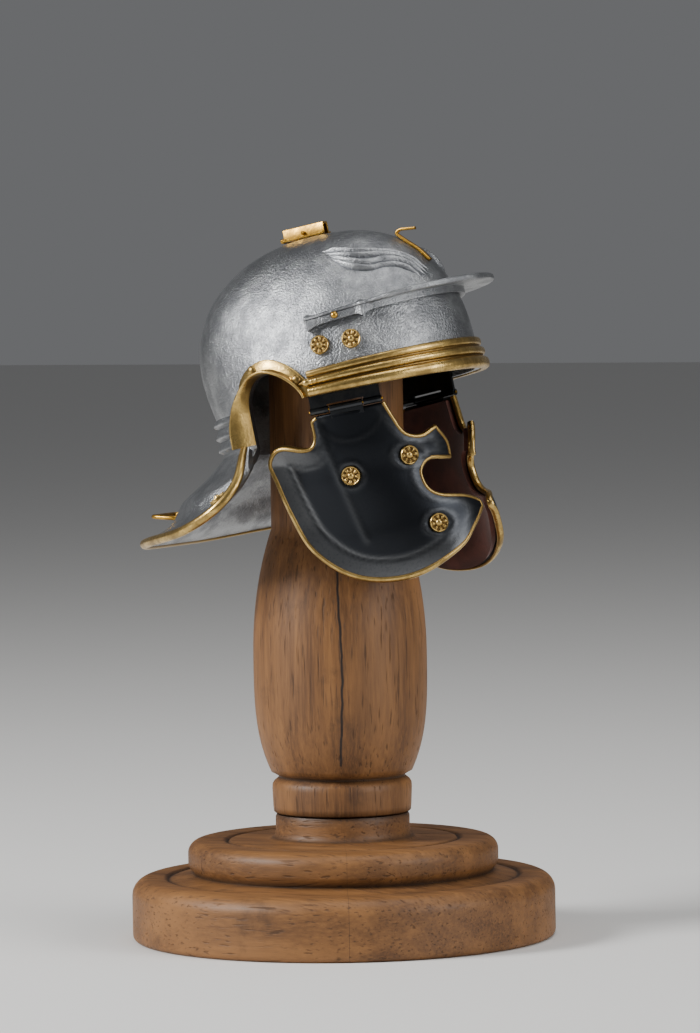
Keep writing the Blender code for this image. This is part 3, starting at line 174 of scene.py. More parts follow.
def loft(rings, closed=False):
    """Points and faces that join equal rings, with capped ends unless the rings close on themselves."""
    count = len(rings[0])
    points = np.vstack(rings)
    faces = []
    pairs = [(index, index + 1) for index in range(len(rings) - 1)]
    if closed:
        pairs.append((len(rings) - 1, 0))
    for near, far in pairs:
        for index in range(count):
            following = (index + 1) % count
            low, high = near * count, far * count
            faces.append((low + index, low + following, high + following, high + index))
    if not closed:
        faces.append(tuple(range(count)))
        faces.append(tuple((len(rings) - 1) * count + index for index in range(count)))
    return points, faces


def shell(outer, inner, faces):
    """Points and faces of the closed wall between two equal sheets of points that share their faces."""
    count = len(outer)
    result = list(faces)
    result += [tuple(index + count for index in reversed(face)) for face in faces]
    directed = set()
    for face in faces:
        directed.update(zip(face, (*face[1:], face[0])))
    for a, b in directed:
        if (b, a) not in directed:
            result.append((b, a, a + count, b + count))
    return np.vstack([outer, inner]), result


def spin(profile, sides):
    """Points and faces of a profile of (radius, height), from axis to axis, turned round Z."""
    points = [(0.0, 0.0, profile[0][1])]
    rings = profile[1:-1]
    for radius, height in rings:
        for side in range(sides):
            angle = math.tau * side / sides
            points.append((radius * math.cos(angle), radius * math.sin(angle), height))
    points.append((0.0, 0.0, profile[-1][1]))
    faces = []
    last = len(points) - 1
    for side in range(sides):
        following = (side + 1) % sides
        faces.append((0, 1 + following, 1 + side))
        for ring in range(len(rings) - 1):
            low = 1 + ring * sides
            high = low + sides
            faces.append((low + side, low + following, high + following, high + side))
        top = 1 + (len(rings) - 1) * sides
        faces.append((top + side, top + following, last))
    return np.array(points), faces


def arc(centre, radius, start, end, steps):
    angles = np.radians(np.linspace(start, end, steps + 1))
    return [(centre[0] + radius * math.cos(a), centre[1] + radius * math.sin(a)) for a in angles]


def tube(path, radius, sides, up=(0.0, 0.0, 1.0)):
    """Points and faces of a round rod along a path, with domed ends."""
    path = np.asarray(path, float)
    along = tangents(path)
    across = unit(np.cross(along, np.array(up, float) + 1e-6))
    normal = np.cross(across, along)
    centres = [path[0] - along[0] * radius * 0.5, *path, path[-1] + along[-1] * radius * 0.5]
    sizes = [radius * 0.55, *[radius] * len(path), radius * 0.55]
    across = [across[0], *across, across[-1]]
    normal = [normal[0], *normal, normal[-1]]
    rows = zip(centres, across, normal, sizes)
    return loft([oval(centre, side * size, lift * size, sides) for centre, side, lift, size in rows])


def merge(*meshes):
    """Several sets of points and faces as one."""
    points, faces, start = [], [], 0
    for some, others in meshes:
        points.append(np.asarray(some, float))
        faces += [tuple(index + start for index in face) for face in others]
        start += len(some)
    return np.vstack(points), faces


def new_mesh(name, mesh_data, matrix):
    """Mesh in world metres from points in millimetres of the matrix's frame."""
    points, faces = mesh_data
    world = np.asarray(points, float) * MM @ np.array(matrix.to_3x3()).T + np.array(matrix.translation)
    mesh = bpy.data.meshes.new(name)
    mesh.from_pydata(world.tolist(), [], [tuple(int(index) for index in face) for face in faces])
    return mesh


def turn_outward(mesh, triangulate=False):
    """Make every face point outward, and split the faces into triangles if asked."""
    bm = bmesh.new()
    bm.from_mesh(mesh)
    bmesh.ops.recalc_face_normals(bm, faces=bm.faces)
    if triangulate:
        bmesh.ops.triangulate(bm, faces=bm.faces)
    bm.to_mesh(mesh)
    bm.free()


def finish(name, mesh_data, material, body, replaces=(), matrix=HELMET, sharp=60.0, masks=None):
    """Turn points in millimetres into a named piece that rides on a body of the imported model."""
    mesh = new_mesh(name, mesh_data, matrix)
    for title, values in (masks or {}).items():
        mesh.attributes.new(title, "FLOAT", "POINT").data.foreach_set("value", np.asarray(values, np.float32))
    turn_outward(mesh)
    mesh.shade_smooth()
    mesh.set_sharp_from_angle(angle=math.radians(sharp))
    mesh.materials.append(material)
    piece = bpy.data.objects.new(name, mesh)
    bpy.context.scene.collection.objects.link(piece)
    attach(piece, body)
    if replaces:
        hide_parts(*replaces)
    return piece


def brass_piece(name, mesh_data, material, node=None, sharp=60.0, raised=None, body=ROOT, matrix=HELMET):
    """Finished brass piece; node is the node that it replaces, and the mask gives painted light on its high
    places and painted shade in its hollows.
    """
    masks = None if raised is None else {"raised": raised}
    return finish(name, mesh_data, material, body, (node,) if node else (), matrix, sharp, masks)


def bevel(piece, width):
    modifier = piece.modifiers.new("edge", "BEVEL")
    modifier.width = width * MM
    modifier.segments = 2
    modifier.angle_limit = math.radians(30.0)


def node_centre(node):
    """Centre of a node's box in the helmet's frame, in millimetres."""
    low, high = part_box(node)
    return np.array(HELMET.inverted() @ ((low + high) / 2)) / MM


# Surfaces of the bowl


def reach_at(height, full, widest, fullness, inset):
    crown = CROWN - inset
    rise = np.clip((height - widest) / (crown - widest), 0.0, 1.0)
    return (full - inset) * (1.0 - rise**fullness) ** (1.0 / fullness)


def bowl_section(height, inset=0.0):
    front = reach_at(height, FRONT, FRONT_WIDEST, FRONT_FULLNESS, inset)
    rear = reach_at(height, REAR, REAR_WIDEST, REAR_FULLNESS, inset)
    side = reach_at(height, SIDE, FRONT_WIDEST, SIDE_FULLNESS, inset)
    below = np.clip((REAR_WIDEST - height) / REAR_WIDEST, 0.0, 1.0)
    return front, rear - NAPE_TUCK * below**1.5, side


def bowl_point(turn, height, inset=0.0):
    """Point of the bowl's face; turn is measured from the front, positive to the left."""
    turn = np.asarray(turn, float)
    height = np.asarray(height, float)
    front, rear, side = bowl_section(height, inset)
    forward = np.where(np.cos(turn) > 0.0, front, rear) * np.cos(turn)
    return np.stack(np.broadcast_arrays(side * np.sin(turn), -forward, height), axis=-1)


def bowl_normal(turn, height):
    step, rise = 0.01, 0.05
    height = np.minimum(height, CROWN - 2 * rise)
    around = bowl_point(turn + step, height) - bowl_point(turn - step, height)
    up = bowl_point(turn, height + rise) - bowl_point(turn, height - rise)
    normal = unit(np.cross(around, up))
    outward = bowl_point(turn, height) - np.array((0.0, 0.0, -CROWN / 2))
    return normal * np.sign(np.sum(normal * outward, axis=-1, keepdims=True))


def plan_normal(turn, height=1.0):
    normal = bowl_normal(np.asarray(turn, float), height).copy()
    normal[..., 2] = 0.0
    return unit(normal)


def turn_at(forward, height):
    front, rear, _ = bowl_section(height)
    return np.arccos(np.clip(forward / np.where(np.asarray(forward) > 0.0, front, rear), -1.0, 1.0))


def half_width_at(forward, height, inset=0.0):
    front, rear, side = bowl_section(height, inset)
    return float(side * math.sqrt(max(0.0, 1.0 - (forward / (front if forward > 0.0 else rear)) ** 2)))


def neck_rim():
    """Rim of the neck guard on one side, from the ear to the centre of the back."""
    corner = np.array((half_width_at(-EAR_REAR, 0.0) + 1.8, EAR_REAR + 0.6, -(NAPE_DEPTH + 0.3)))
    points = [corner]
    for across, back, drop in NECK_RIM:
        y = corner[1] + (NECK_REACH - corner[1]) * back
        z = corner[2] - (NECK_DROP + corner[2]) * drop
        points.append((NECK_HALF_WIDTH * across, y, z))
    return resample(spline(points, 8), 97)


def neck_point(turn, out):
    """Point of the neck guard's upper face, at a share of the way out from the nape at a turn."""
    rows = np.array(NECK_ROWS)
    drop = np.interp(out, rows[:, 0], rows[:, 1])
    crest = np.interp(out, rows[:, 0], rows[:, 2])
    nape = bowl_point(turn, 0.0)
    share = 0.5 + 0.5 * (math.pi - turn) / (math.pi - FIRST_TURN)
    rim = neck_rim()
    position = (1.0 - abs(2.0 * share - 1.0)) * (len(rim) - 1)
    index = min(int(position), len(rim) - 2)
    edge = rim[index] + (rim[index + 1] - rim[index]) * (position - index)
    edge = edge * np.array((-1.0 if share < 0.5 else 1.0, 1.0, 1.0))
    point = nape + (edge - nape) * out
    point[2] = -NAPE_DEPTH + (edge[2] + NAPE_DEPTH) * drop
    fade = min(1.0, 6.0 * (0.5 - abs(share - 0.5)))
    point[2] += NECK_CREST * crest * fade
    return point


def ear_path(count):
    """Edge of the ear opening as (forward, height), from its rear foot over the arch to its front foot."""
    straight = -1.0
    points = [(-EAR_REAR, -(NAPE_DEPTH - 0.5)), (-EAR_REAR, straight)]
    for step in range(1, 17):
        angle = 0.5 * math.pi * step / 16
        run = (EAR_REAR - EAR_TOP_BACK) * math.cos(angle) ** 0.9
        points.append((-EAR_TOP_BACK - run, straight + (EAR_HEIGHT - straight) * math.sin(angle) ** 0.9))
    for step in range(1, 17):
        angle = 0.5 * math.pi * (1.0 - step / 16)
        run = (EAR_FRONT + EAR_TOP_BACK) * max(math.cos(angle), 0.0) ** 1.25
        points.append((-EAR_TOP_BACK + run, (EAR_HEIGHT + 0.15) * math.sin(angle) ** 1.25 - 0.15))
    return resample(points, count)


# Finishes


def node_group(name, inputs, outputs):
    """Empty shader node group with named sockets; inputs are (name, type, default)."""
    group = bpy.data.node_groups.new(name, "ShaderNodeTree")
    for title, kind, default in inputs:
        group.interface.new_socket(name=title, in_out="INPUT", socket_type=kind).default_value = default
    for title, kind in outputs:
        group.interface.new_socket(name=title, in_out="OUTPUT", socket_type=kind)
    return group, group.nodes.new("NodeGroupInput"), group.nodes.new("NodeGroupOutput")


class Graph:
    """Short ways to add and join the nodes of one node tree."""

    def __init__(self, tree):
        self.tree = tree

    def join(self, source, target):
        self.tree.links.new(source, target)

    def put(self, target, value):
        if isinstance(value, bpy.types.NodeSocket):
            self.join(value, target)
        else:
            target.default_value = value

    def node(self, kind, **settings):
        node = self.tree.nodes.new(kind)
        for key, value in settings.items():
            setattr(node, key, value)
        return node

    def math(self, operation, first, second=0.0, clamp=False):
        node = self.node("ShaderNodeMath", operation=operation, use_clamp=clamp)
        self.put(node.inputs[0], first)
        self.put(node.inputs[1], second)
        return node.outputs[0]

    def noise(self, vector, scale, detail=4.0, roughness=0.55, stretch=None):
        if stretch is not None:
            mapping = self.node("ShaderNodeMapping")
            self.put(mapping.inputs["Scale"], stretch)
            self.join(vector, mapping.inputs["Vector"])
            vector = mapping.outputs[0]
        node = self.node("ShaderNodeTexNoise")
        self.join(vector, node.inputs["Vector"])
        self.put(node.inputs["Scale"], scale)
        self.put(node.inputs["Detail"], detail)
        self.put(node.inputs["Roughness"], roughness)
        return node.outputs["Fac"]

    def ramp(self, value, low, high):
        node = self.node("ShaderNodeMapRange", interpolation_type="SMOOTHSTEP")
        self.put(node.inputs["Value"], value)
        self.put(node.inputs["From Min"], low)
        self.put(node.inputs["From Max"], high)
        return node.outputs[0]

    def scaled(self, colour, factor):
        node = self.node("ShaderNodeVectorMath", operation="SCALE")
        self.put(node.inputs[0], colour)
        self.put(node.inputs["Scale"], factor)
        return node.outputs[0]

    def along(self, axis, length):
        """Scale that stretches a pattern along an axis: length on that axis, 1 on the others."""
        node = self.node("ShaderNodeVectorMath", operation="MULTIPLY_ADD")
        self.put(node.inputs[0], axis)
        self.put(node.inputs[1], (length - 1.0,) * 3)
        self.put(node.inputs[2], (1.0,) * 3)
        return node.outputs[0]

    def mix(self, factor, first, second):
        node = self.node("ShaderNodeMix", data_type="RGBA")
        self.put(node.inputs[0], factor)
        self.put(node.inputs[6], first)
        self.put(node.inputs[7], second)
        return node.outputs[2]

    def blend(self, factor, first, second):
        node = self.node("ShaderNodeMix", data_type="FLOAT")
        self.put(node.inputs[0], factor)
        self.put(node.inputs[2], first)
        self.put(node.inputs[3], second)
        return node.outputs[0]

    def mask(self, name):
        """Values that the mesh carries under a name."""
        return self.node("ShaderNodeAttribute", attribute_name=name).outputs["Fac"]

    def fill(self, group, values):
        """Node of a group with its inputs filled."""
        node = self.node("ShaderNodeGroup", node_tree=group)
        for title, value in values.items():
            self.put(node.inputs[title], value)
        return node

    def bump(self, height, strength, distance):
        node = self.node("ShaderNodeBump")
        self.put(node.inputs["Strength"], strength)
        self.put(node.inputs["Distance"], distance)
        self.join(height, node.inputs["Height"])
        return node.outputs[0]


def rgba(colour, factor=1.0):
    return (colour[0] * factor, colour[1] * factor, colour[2] * factor, 1.0)


def make_cast_metal_group():
    """Cast and polished metal: mottled tone, painted shade in the hollows and painted light on the high
    places from the mesh's mask, and fine pits.
    """
    group, given, result = node_group(
        "cast_metal",
        [
            ("Bright", "NodeSocketColor", (0.7, 0.7, 0.7, 1.0)),
            ("Dark", "NodeSocketColor", (0.1, 0.1, 0.1, 1.0)),
            ("Mottle Scale", "NodeSocketFloat", 400.0),
            ("Grain Scale", "NodeSocketFloat", 2500.0),
            ("Tarnish", "NodeSocketFloat", 0.4),
            ("Raised", "NodeSocketFloat", 0.5),
            ("Roughness Low", "NodeSocketFloat", 0.25),
            ("Roughness High", "NodeSocketFloat", 0.5),
        ],
        [("Color", "NodeSocketColor"), ("Roughness", "NodeSocketFloat"), ("Height", "NodeSocketFloat")],
    )
    graph = Graph(group)
    place = graph.node("ShaderNodeTexCoord").outputs["Object"]
    mottle = graph.noise(place, given.outputs["Mottle Scale"], 6.0, 0.62)
    grain = graph.noise(place, given.outputs["Grain Scale"], 3.0, 0.6)
    cloud = graph.ramp(mottle, 0.36, 0.68)
    dark = graph.math("MULTIPLY", graph.math("SUBTRACT", 1.0, cloud), given.outputs["Tarnish"])
    # Painted shade: where the mesh's mask is low (hollows, grooves, under steps, inside the bowl) the colour
    # goes towards Dark; where it is high it stays Bright as painted light.
    hollow = graph.math("SUBTRACT", 1.0, given.outputs["Raised"], clamp=True)
    factor = graph.math("MAXIMUM", dark, hollow, clamp=True)
    pits = graph.math("MULTIPLY", graph.math("SUBTRACT", 1.0, graph.ramp(grain, 0.28, 0.52)), 0.22)
    factor = graph.math(
        "ADD", factor, graph.math("MULTIPLY", pits, graph.math("SUBTRACT", 1.0, factor)), clamp=True,
    )
    graph.join(graph.mix(factor, given.outputs["Bright"], given.outputs["Dark"]), result.inputs["Color"])
    rough = graph.blend(factor, given.outputs["Roughness Low"], given.outputs["Roughness High"])
    graph.join(rough, result.inputs["Roughness"])
    height = graph.math("ADD", graph.math("MULTIPLY", grain, 0.55), graph.math("MULTIPLY", mottle, 0.45))
    graph.join(height, result.inputs["Height"])
    return group


def new_material(name):
    material = bpy.data.materials.new(name)
    material.use_nodes = True
    graph = Graph(material.node_tree)
    return material, graph, material.node_tree.nodes["Principled BSDF"]


def metal_material(group, name, bright, dark, mottle, grain, tarnish, rough, bump, raised=None):
    """Metal finish from the shared cast metal group; the last argument names a mask of painted light and
    shade that the mesh carries.
    """
    material, graph, shader = new_material(name)
    values = {
        "Bright": bright,
        "Dark": dark,
        "Mottle Scale": mottle,
        "Grain Scale": grain,
        "Tarnish": tarnish,
        "Raised": graph.mask(raised) if raised else 1.0,
        "Roughness Low": rough[0],
        "Roughness High": rough[1],
    }
    node = graph.fill(group, values)
    graph.join(node.outputs["Color"], shader.inputs["Base Color"])
    graph.join(node.outputs["Roughness"], shader.inputs["Roughness"])
    graph.join(graph.bump(node.outputs["Height"], bump[0], bump[1] * MM), shader.inputs["Normal"])
    shader.inputs["Metallic"].default_value = 1.0
    return material


def make_turned_wood_group():
    """Walnut-like turned wood: grain along one axis, dark pores and patches, painted shade in the grooves,
    and a split.
    """
    group, given, result = node_group(
        "turned_wood",
        [
            ("Light", "NodeSocketColor", (0.25, 0.11, 0.03, 1.0)),
            ("Dark", "NodeSocketColor", (0.08, 0.03, 0.01, 1.0)),
            ("Seam", "NodeSocketColor", (0.01, 0.01, 0.01, 1.0)),
            ("Grain Axis", "NodeSocketVector", (0.0, 0.0, 1.0)),
            ("Groove Shade", "NodeSocketFloat", 0.0),
            ("Split", "NodeSocketFloat", 5.0),
        ],
        [("Color", "NodeSocketColor"), ("Roughness", "NodeSocketFloat"), ("Height", "NodeSocketFloat")],
    )
    graph = Graph(group)
    light, dark, axis = (given.outputs[name] for name in ("Light", "Dark", "Grain Axis"))
    place = graph.node("ShaderNodeTexCoord").outputs["Object"]
    figure = graph.noise(place, 75.0, 5.0, 0.6, graph.along(axis, 0.2))
    bands = graph.noise(place, 330.0, 6.0, 0.7, graph.along(axis, 0.07))
    fibre = graph.noise(place, 2300.0, 4.0, 0.7, graph.along(axis, 0.05))
    pores = graph.ramp(graph.noise(place, 2600.0, 2.0, 0.5, graph.along(axis, 0.07)), 0.57, 0.72)
    patch = graph.ramp(graph.noise(place, 90.0, 6.0, 0.7), 0.55, 0.75)
    tone = graph.math("ADD", graph.math("MULTIPLY", figure, 0.55), graph.math("MULTIPLY", bands, 0.45))
    colour = graph.mix(graph.ramp(tone, 0.36, 0.64), dark, light)
    sheen = graph.math("MULTIPLY", graph.ramp(fibre, 0.35, 0.75), 0.4)
    colour = graph.mix(sheen, colour, graph.scaled(light, 1.3))
    colour = graph.mix(graph.math("MULTIPLY", pores, 0.6), colour, graph.scaled(dark, 0.3))
    colour = graph.mix(graph.math("MULTIPLY", patch, 0.6), colour, graph.scaled(dark, 0.4))
    # Painted shade in the turned grooves.
    colour = graph.mix(given.outputs["Groove Shade"], colour, graph.scaled(dark, 0.18))
    wander = graph.math("MULTIPLY", graph.math("SUBTRACT", graph.noise(place, 420.0, 3.0), 0.5), 0.3)
    away = graph.math("ABSOLUTE", graph.math("ADD", given.outputs["Split"], wander))
    colour = graph.mix(graph.ramp(away, 0.26, 0.07), colour, given.outputs["Seam"])
    graph.join(colour, result.inputs["Color"])
    rough = graph.math("ADD", 0.42, graph.math("MULTIPLY", fibre, 0.22))
    rough = graph.math("ADD", rough, graph.math("MULTIPLY", pores, 0.2))
    graph.join(rough, result.inputs["Roughness"])
    height = graph.math("SUBTRACT", graph.math("MULTIPLY", fibre, 0.4), graph.math("MULTIPLY", pores, 0.9))
    graph.join(height, result.inputs["Height"])
    return group


def wood_material(group, name, look, axis):
    """Wood finish from the shared turned wood group; axis is the way the grain runs."""
    material, graph, shader = new_material(name)
    values = {
        "Light": rgba(look.wood),
        "Dark": rgba(look.wood_shadow),
        "Seam": rgba(look.wood_seam),
        "Grain Axis": axis,
        "Groove Shade": graph.mask("groove_shade"),
        "Split": graph.mask("split"),
    }
    node = graph.fill(group, values)
    graph.join(node.outputs["Color"], shader.inputs["Base Color"])
    graph.join(node.outputs["Roughness"], shader.inputs["Roughness"])
    graph.join(graph.bump(node.outputs["Height"], 0.35, 0.12 * MM), shader.inputs["Normal"])
    shader.inputs["Specular IOR Level"].default_value = 0.45
    return material


def leather_material(name, colour):
    """Dark red-brown suede with a short nap."""
    material, graph, shader = new_material(name)
    place = graph.node("ShaderNodeTexCoord").outputs["Object"]
    cloud = graph.noise(place, 260.0, 5.0, 0.6)
    nap = graph.noise(place, 5200.0, 3.0, 0.7)
    tone = graph.mix(graph.ramp(cloud, 0.35, 0.68), rgba(colour, 0.55), rgba(colour, 1.5))
    tone = graph.mix(graph.math("MULTIPLY", nap, 0.4), tone, rgba(colour, 2.1))
    graph.join(tone, shader.inputs["Base Color"])
    graph.join(graph.bump(nap, 0.5, 0.06 * MM), shader.inputs["Normal"])
    shader.inputs["Roughness"].default_value = 0.88
    shader.inputs["Sheen Weight"].default_value = 0.25
    return material


def get_materials():
    """The finishes, made once and found by name afterwards."""
    look = bpy.context.scene.helmet_look
    if "tinned_bowl" in bpy.data.materials:
        return {material.name: material for material in bpy.data.materials}
    metal, wood = make_cast_metal_group(), make_turned_wood_group()
    tin, dark, brass = rgba(look.tin), rgba(look.tin_shadow), rgba(look.brass)
    # hollow is the brass's dark: its tarnish, and the painted shade in its recesses.
    black, hollow, worn = rgba(look.blackened), rgba(look.brass_shadow), rgba(look.brass, 0.6)
    # The last entry of a finish names the mesh's mask of painted light and shade.
    finishes = (
        ("tinned_bowl", tin, dark, 240.0, 3400.0, 0.7, (0.28, 0.42), (0.9, 0.3), "raised"),
        ("tinned_guard", tin, black, 300.0, 2600.0, 0.3, (0.3, 0.36), (0.3, 0.08), "raised"),
        # Tin darkened to a twelfth of its brightness: painted shade for the hinge leaves that sit under the
        # rim.
        ("dark_tin", rgba(look.tin, 0.12), black, 500.0, 1800.0, 0.8, (0.28, 0.4), (0.4, 0.12)),
        ("worked_brass", brass, hollow, 420.0, 2600.0, 0.6, (0.24, 0.45), (0.45, 0.12), "raised"),
        ("plain_brass", rgba(look.gold), hollow, 500.0, 2400.0, 0.6, (0.27, 0.42), (0.3, 0.08)),
        ("old_brass", worn, hollow, 600.0, 2600.0, 0.9, (0.28, 0.45), (0.4, 0.1)),
    )
    materials = [metal_material(metal, *values) for values in finishes]
    materials.append(wood_material(wood, "walnut_spindle", look, (0.0, 0.0, 1.0)))
    materials.append(wood_material(wood, "walnut_base", look, (0.0, 1.0, 0.0)))
    materials.append(leather_material("lining_suede", look.leather))
    return {material.name: material for material in materials}


class HelmetSizes(bpy.types.PropertyGroup):
    """Sizes a user may change before the pieces are made."""

    petals: IntProperty(name="Petals", description="Petals round each rosette", default=8, min=4, max=16)
    rosette_radius: FloatProperty(
        name="Rosette Radius", description="Radius of a rosette",
        default=1.35 * MM, unit="LENGTH", precision=5,
    )
    trim_thickness: FloatProperty(
        name="Cheek Trim", description="Thickness of the cheek guards' brass edge",
        default=1.05 * MM, unit="LENGTH", precision=5,
    )
    ridge_height: FloatProperty(
        name="Eyebrow Height", description="Height of the embossed eyebrow ridges",
        default=0.62 * MM, unit="LENGTH", precision=5,
    )
    turned_sides: IntProperty(
        name="Turned Sides", description="Sides of the turned wood",
        default=144, min=32, max=256,
    )


class HelmetLook(bpy.types.PropertyGroup):
    """Colours of the finishes."""

    tin: FloatVectorProperty(
        name="Tin", description="Bright tinned metal",
        default=(0.47, 0.48, 0.49), subtype="COLOR", min=0.0, max=1.0,
    )
    # Dark of the tinned metal: its tarnish, and also the painted shade in hollows, grooves, under steps and
    # inside the bowl.
    tin_shadow: FloatVectorProperty(
        name="Tin Shadow", description="Tarnish of the tin",
        default=(0.11, 0.115, 0.125), subtype="COLOR", min=0.0, max=1.0,
    )
    blackened: FloatVectorProperty(
        name="Blackened", description="Dark field of the cheek guards",
        default=(0.022, 0.024, 0.028), subtype="COLOR", min=0.0, max=1.0,
    )
    brass: FloatVectorProperty(
        name="Brass", description="Worn brass",
        default=(0.7, 0.48, 0.16), subtype="COLOR", min=0.0, max=1.0,
    )
    gold: FloatVectorProperty(
        name="Gold", description="Bright brass of the fittings",
        default=(0.66, 0.37, 0.06), subtype="COLOR", min=0.0, max=1.0,
    )
    # Dark of the brass: its tarnish, and also the painted shade in its recesses.
    brass_shadow: FloatVectorProperty(
        name="Brass Shadow", description="Brass in the recesses",
        default=(0.075, 0.038, 0.012), subtype="COLOR", min=0.0, max=1.0,
    )
    leather: FloatVectorProperty(
        name="Leather", description="Suede of the linings",
        default=(0.07, 0.018, 0.011), subtype="COLOR", min=0.0, max=1.0,
    )
    wood: FloatVectorProperty(
        name="Wood", description="Light figure of the wood",
        default=(0.25, 0.112, 0.034), subtype="COLOR", min=0.0, max=1.0,
    )
    # Dark figure of the wood; the painted shade in the turned grooves is drawn from it too.
    wood_shadow: FloatVectorProperty(
        name="Wood Shadow", description="Dark figure of the wood",
        default=(0.085, 0.034, 0.010), subtype="COLOR", min=0.0, max=1.0,
    )
    wood_seam: FloatVectorProperty(
        name="Wood Seam", description="Split in the spindle",
        default=(0.012, 0.006, 0.004), subtype="COLOR", min=0.0, max=1.0,
    )


class HELMET_OT_stand(bpy.types.Operator):
    """Turn the stand's stepped base and its swelling spindle"""

    bl_idname = "helmet.stand"
    bl_label = "Turned Stand"

    def execute(self, context):
        materials = get_materials()
        sides = context.scene.helmet_sizes.turned_sides
        profile = [(0.0, 0.0), (29.2, 0.0), *arc((29.2, 0.8), 0.8, -90.0, 0.0, 4)]
        profile += arc((27.6, 6.35), 2.4, 0.0, 90.0, 12)
        profile += [(25.6, 8.75), (25.2, 8.7), (24.95, 8.45), (24.7, 8.45), (24.4, 8.6), (22.6, 8.95)]
        profile += [(21.6, 9.15), (21.25, 9.35), (21.3, 9.6), (21.8, 10.2), (22.0, 10.8)]
        profile += arc((20.2, 12.18), 1.8, 0.0, 90.0, 10)
        profile += [(17.2, 13.98), (16.75, 13.9), (16.5, 13.63), (16.25, 13.63), (16.05, 13.9), (15.7, 13.98)]
        profile += [
            (11.2, 13.98), (10.5, 14.05), (9.9, 14.3), (9.6, 14.7), (9.5, 15.2), (9.5, 17.2), (9.3, 17.6),
            (0.0, 17.65),
        ]
        grooves = ((24.8, 8.45), (21.25, 9.4), (16.4, 13.6), (9.7, 14.3), (9.4, 17.6))
        self.make("stand_base_turned", profile, sides, materials["walnut_base"], "stand_base", grooves)

        low = SPINDLE_FOOT
        collar = low + COLLAR_HEIGHT
        profile = [(0.0, low), (9.5, low), (9.72, low + 0.2), (9.8, low + 1.0), (9.9, collar - 1.4)]
        profile += [
            (9.85, collar - 0.75), (9.6, collar - 0.3), (9.2, collar), (8.95, collar + 0.25),
            (9.0, collar + 0.45),
        ]
        profile += [(9.5, collar + 0.75), (10.0, collar + 1.0)]
        shoulder_radius, shoulder = profile[-1]
        for share in np.linspace(0.04, 1.0, 18):
            swell = 1.0 - (1.0 - share) ** 3.2
            radius = shoulder_radius + (BELLY_RADIUS - shoulder_radius) * swell
            profile.append((radius, shoulder + (BELLY_HEIGHT - shoulder) * share))
        for share in np.linspace(0.07, 1.0, 14):
            radius = BELLY_RADIUS - (BELLY_RADIUS - NECK_RADIUS) * share**2.2
            profile.append((radius, BELLY_HEIGHT + NECK_RUN * share))
        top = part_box("stand_post")[1].z / MM
        profile += arc((0.0, top - NECK_RADIUS), NECK_RADIUS, 0.0, 87.0, 18)
        profile.append((0.0, top))
        grooves = ((9.4, low), (8.95, collar + 0.3))
        self.make("stand_post_turned", profile, sides, materials["walnut_spindle"], "stand_post", grooves)
        return {"FINISHED"}

    def finer(self, profile):
        """Profile with no long straight run, so that masks and grooves are smooth."""
        result = [profile[0]]
        for start, end in zip(profile, profile[1:]):
            pieces = max(1, round(math.dist(start, end) / 1.2))
            for step in range(1, pieces + 1):
                share = step / pieces
                result.append(
                    (start[0] + (end[0] - start[0]) * share, start[1] + (end[1] - start[1]) * share),
                )
        return result

    def make(self, name, profile, sides, wood, node, grooves):
        points, faces = spin(self.finer(profile), sides)
        radius = np.hypot(points[:, 0], points[:, 1])
        # The groove mask: painted shade in each turned groove.
        groove_shade = np.zeros(len(points))
        for at_radius, at_height in grooves:
            away = np.hypot(radius - at_radius, points[:, 2] - at_height)
            groove_shade = np.maximum(groove_shade, np.exp(-((away / GROOVE_WIDTH) ** 2)) * 0.85)
        angle = np.arctan2(points[:, 1], points[:, 0])
        wander = 0.02 * np.sin(points[:, 2] * 0.21) + 0.004 * np.sin(points[:, 2] * 1.7 + 1.0)
        away = ((angle - SPLIT_FACING - wander + math.pi) % math.tau - math.pi) * radius
        whole = (points[:, 2] < SPLIT_LOW) | (points[:, 2] > SPLIT_HIGH)
        split = np.where(whole, np.copysign(5.0, away), np.clip(away, -5.0, 5.0))
        masks = {"groove_shade": groove_shade, "split": split}
        finish(name, (points, faces), wood, ROOT, (node,), Matrix.Identity(4), 50.0, masks)


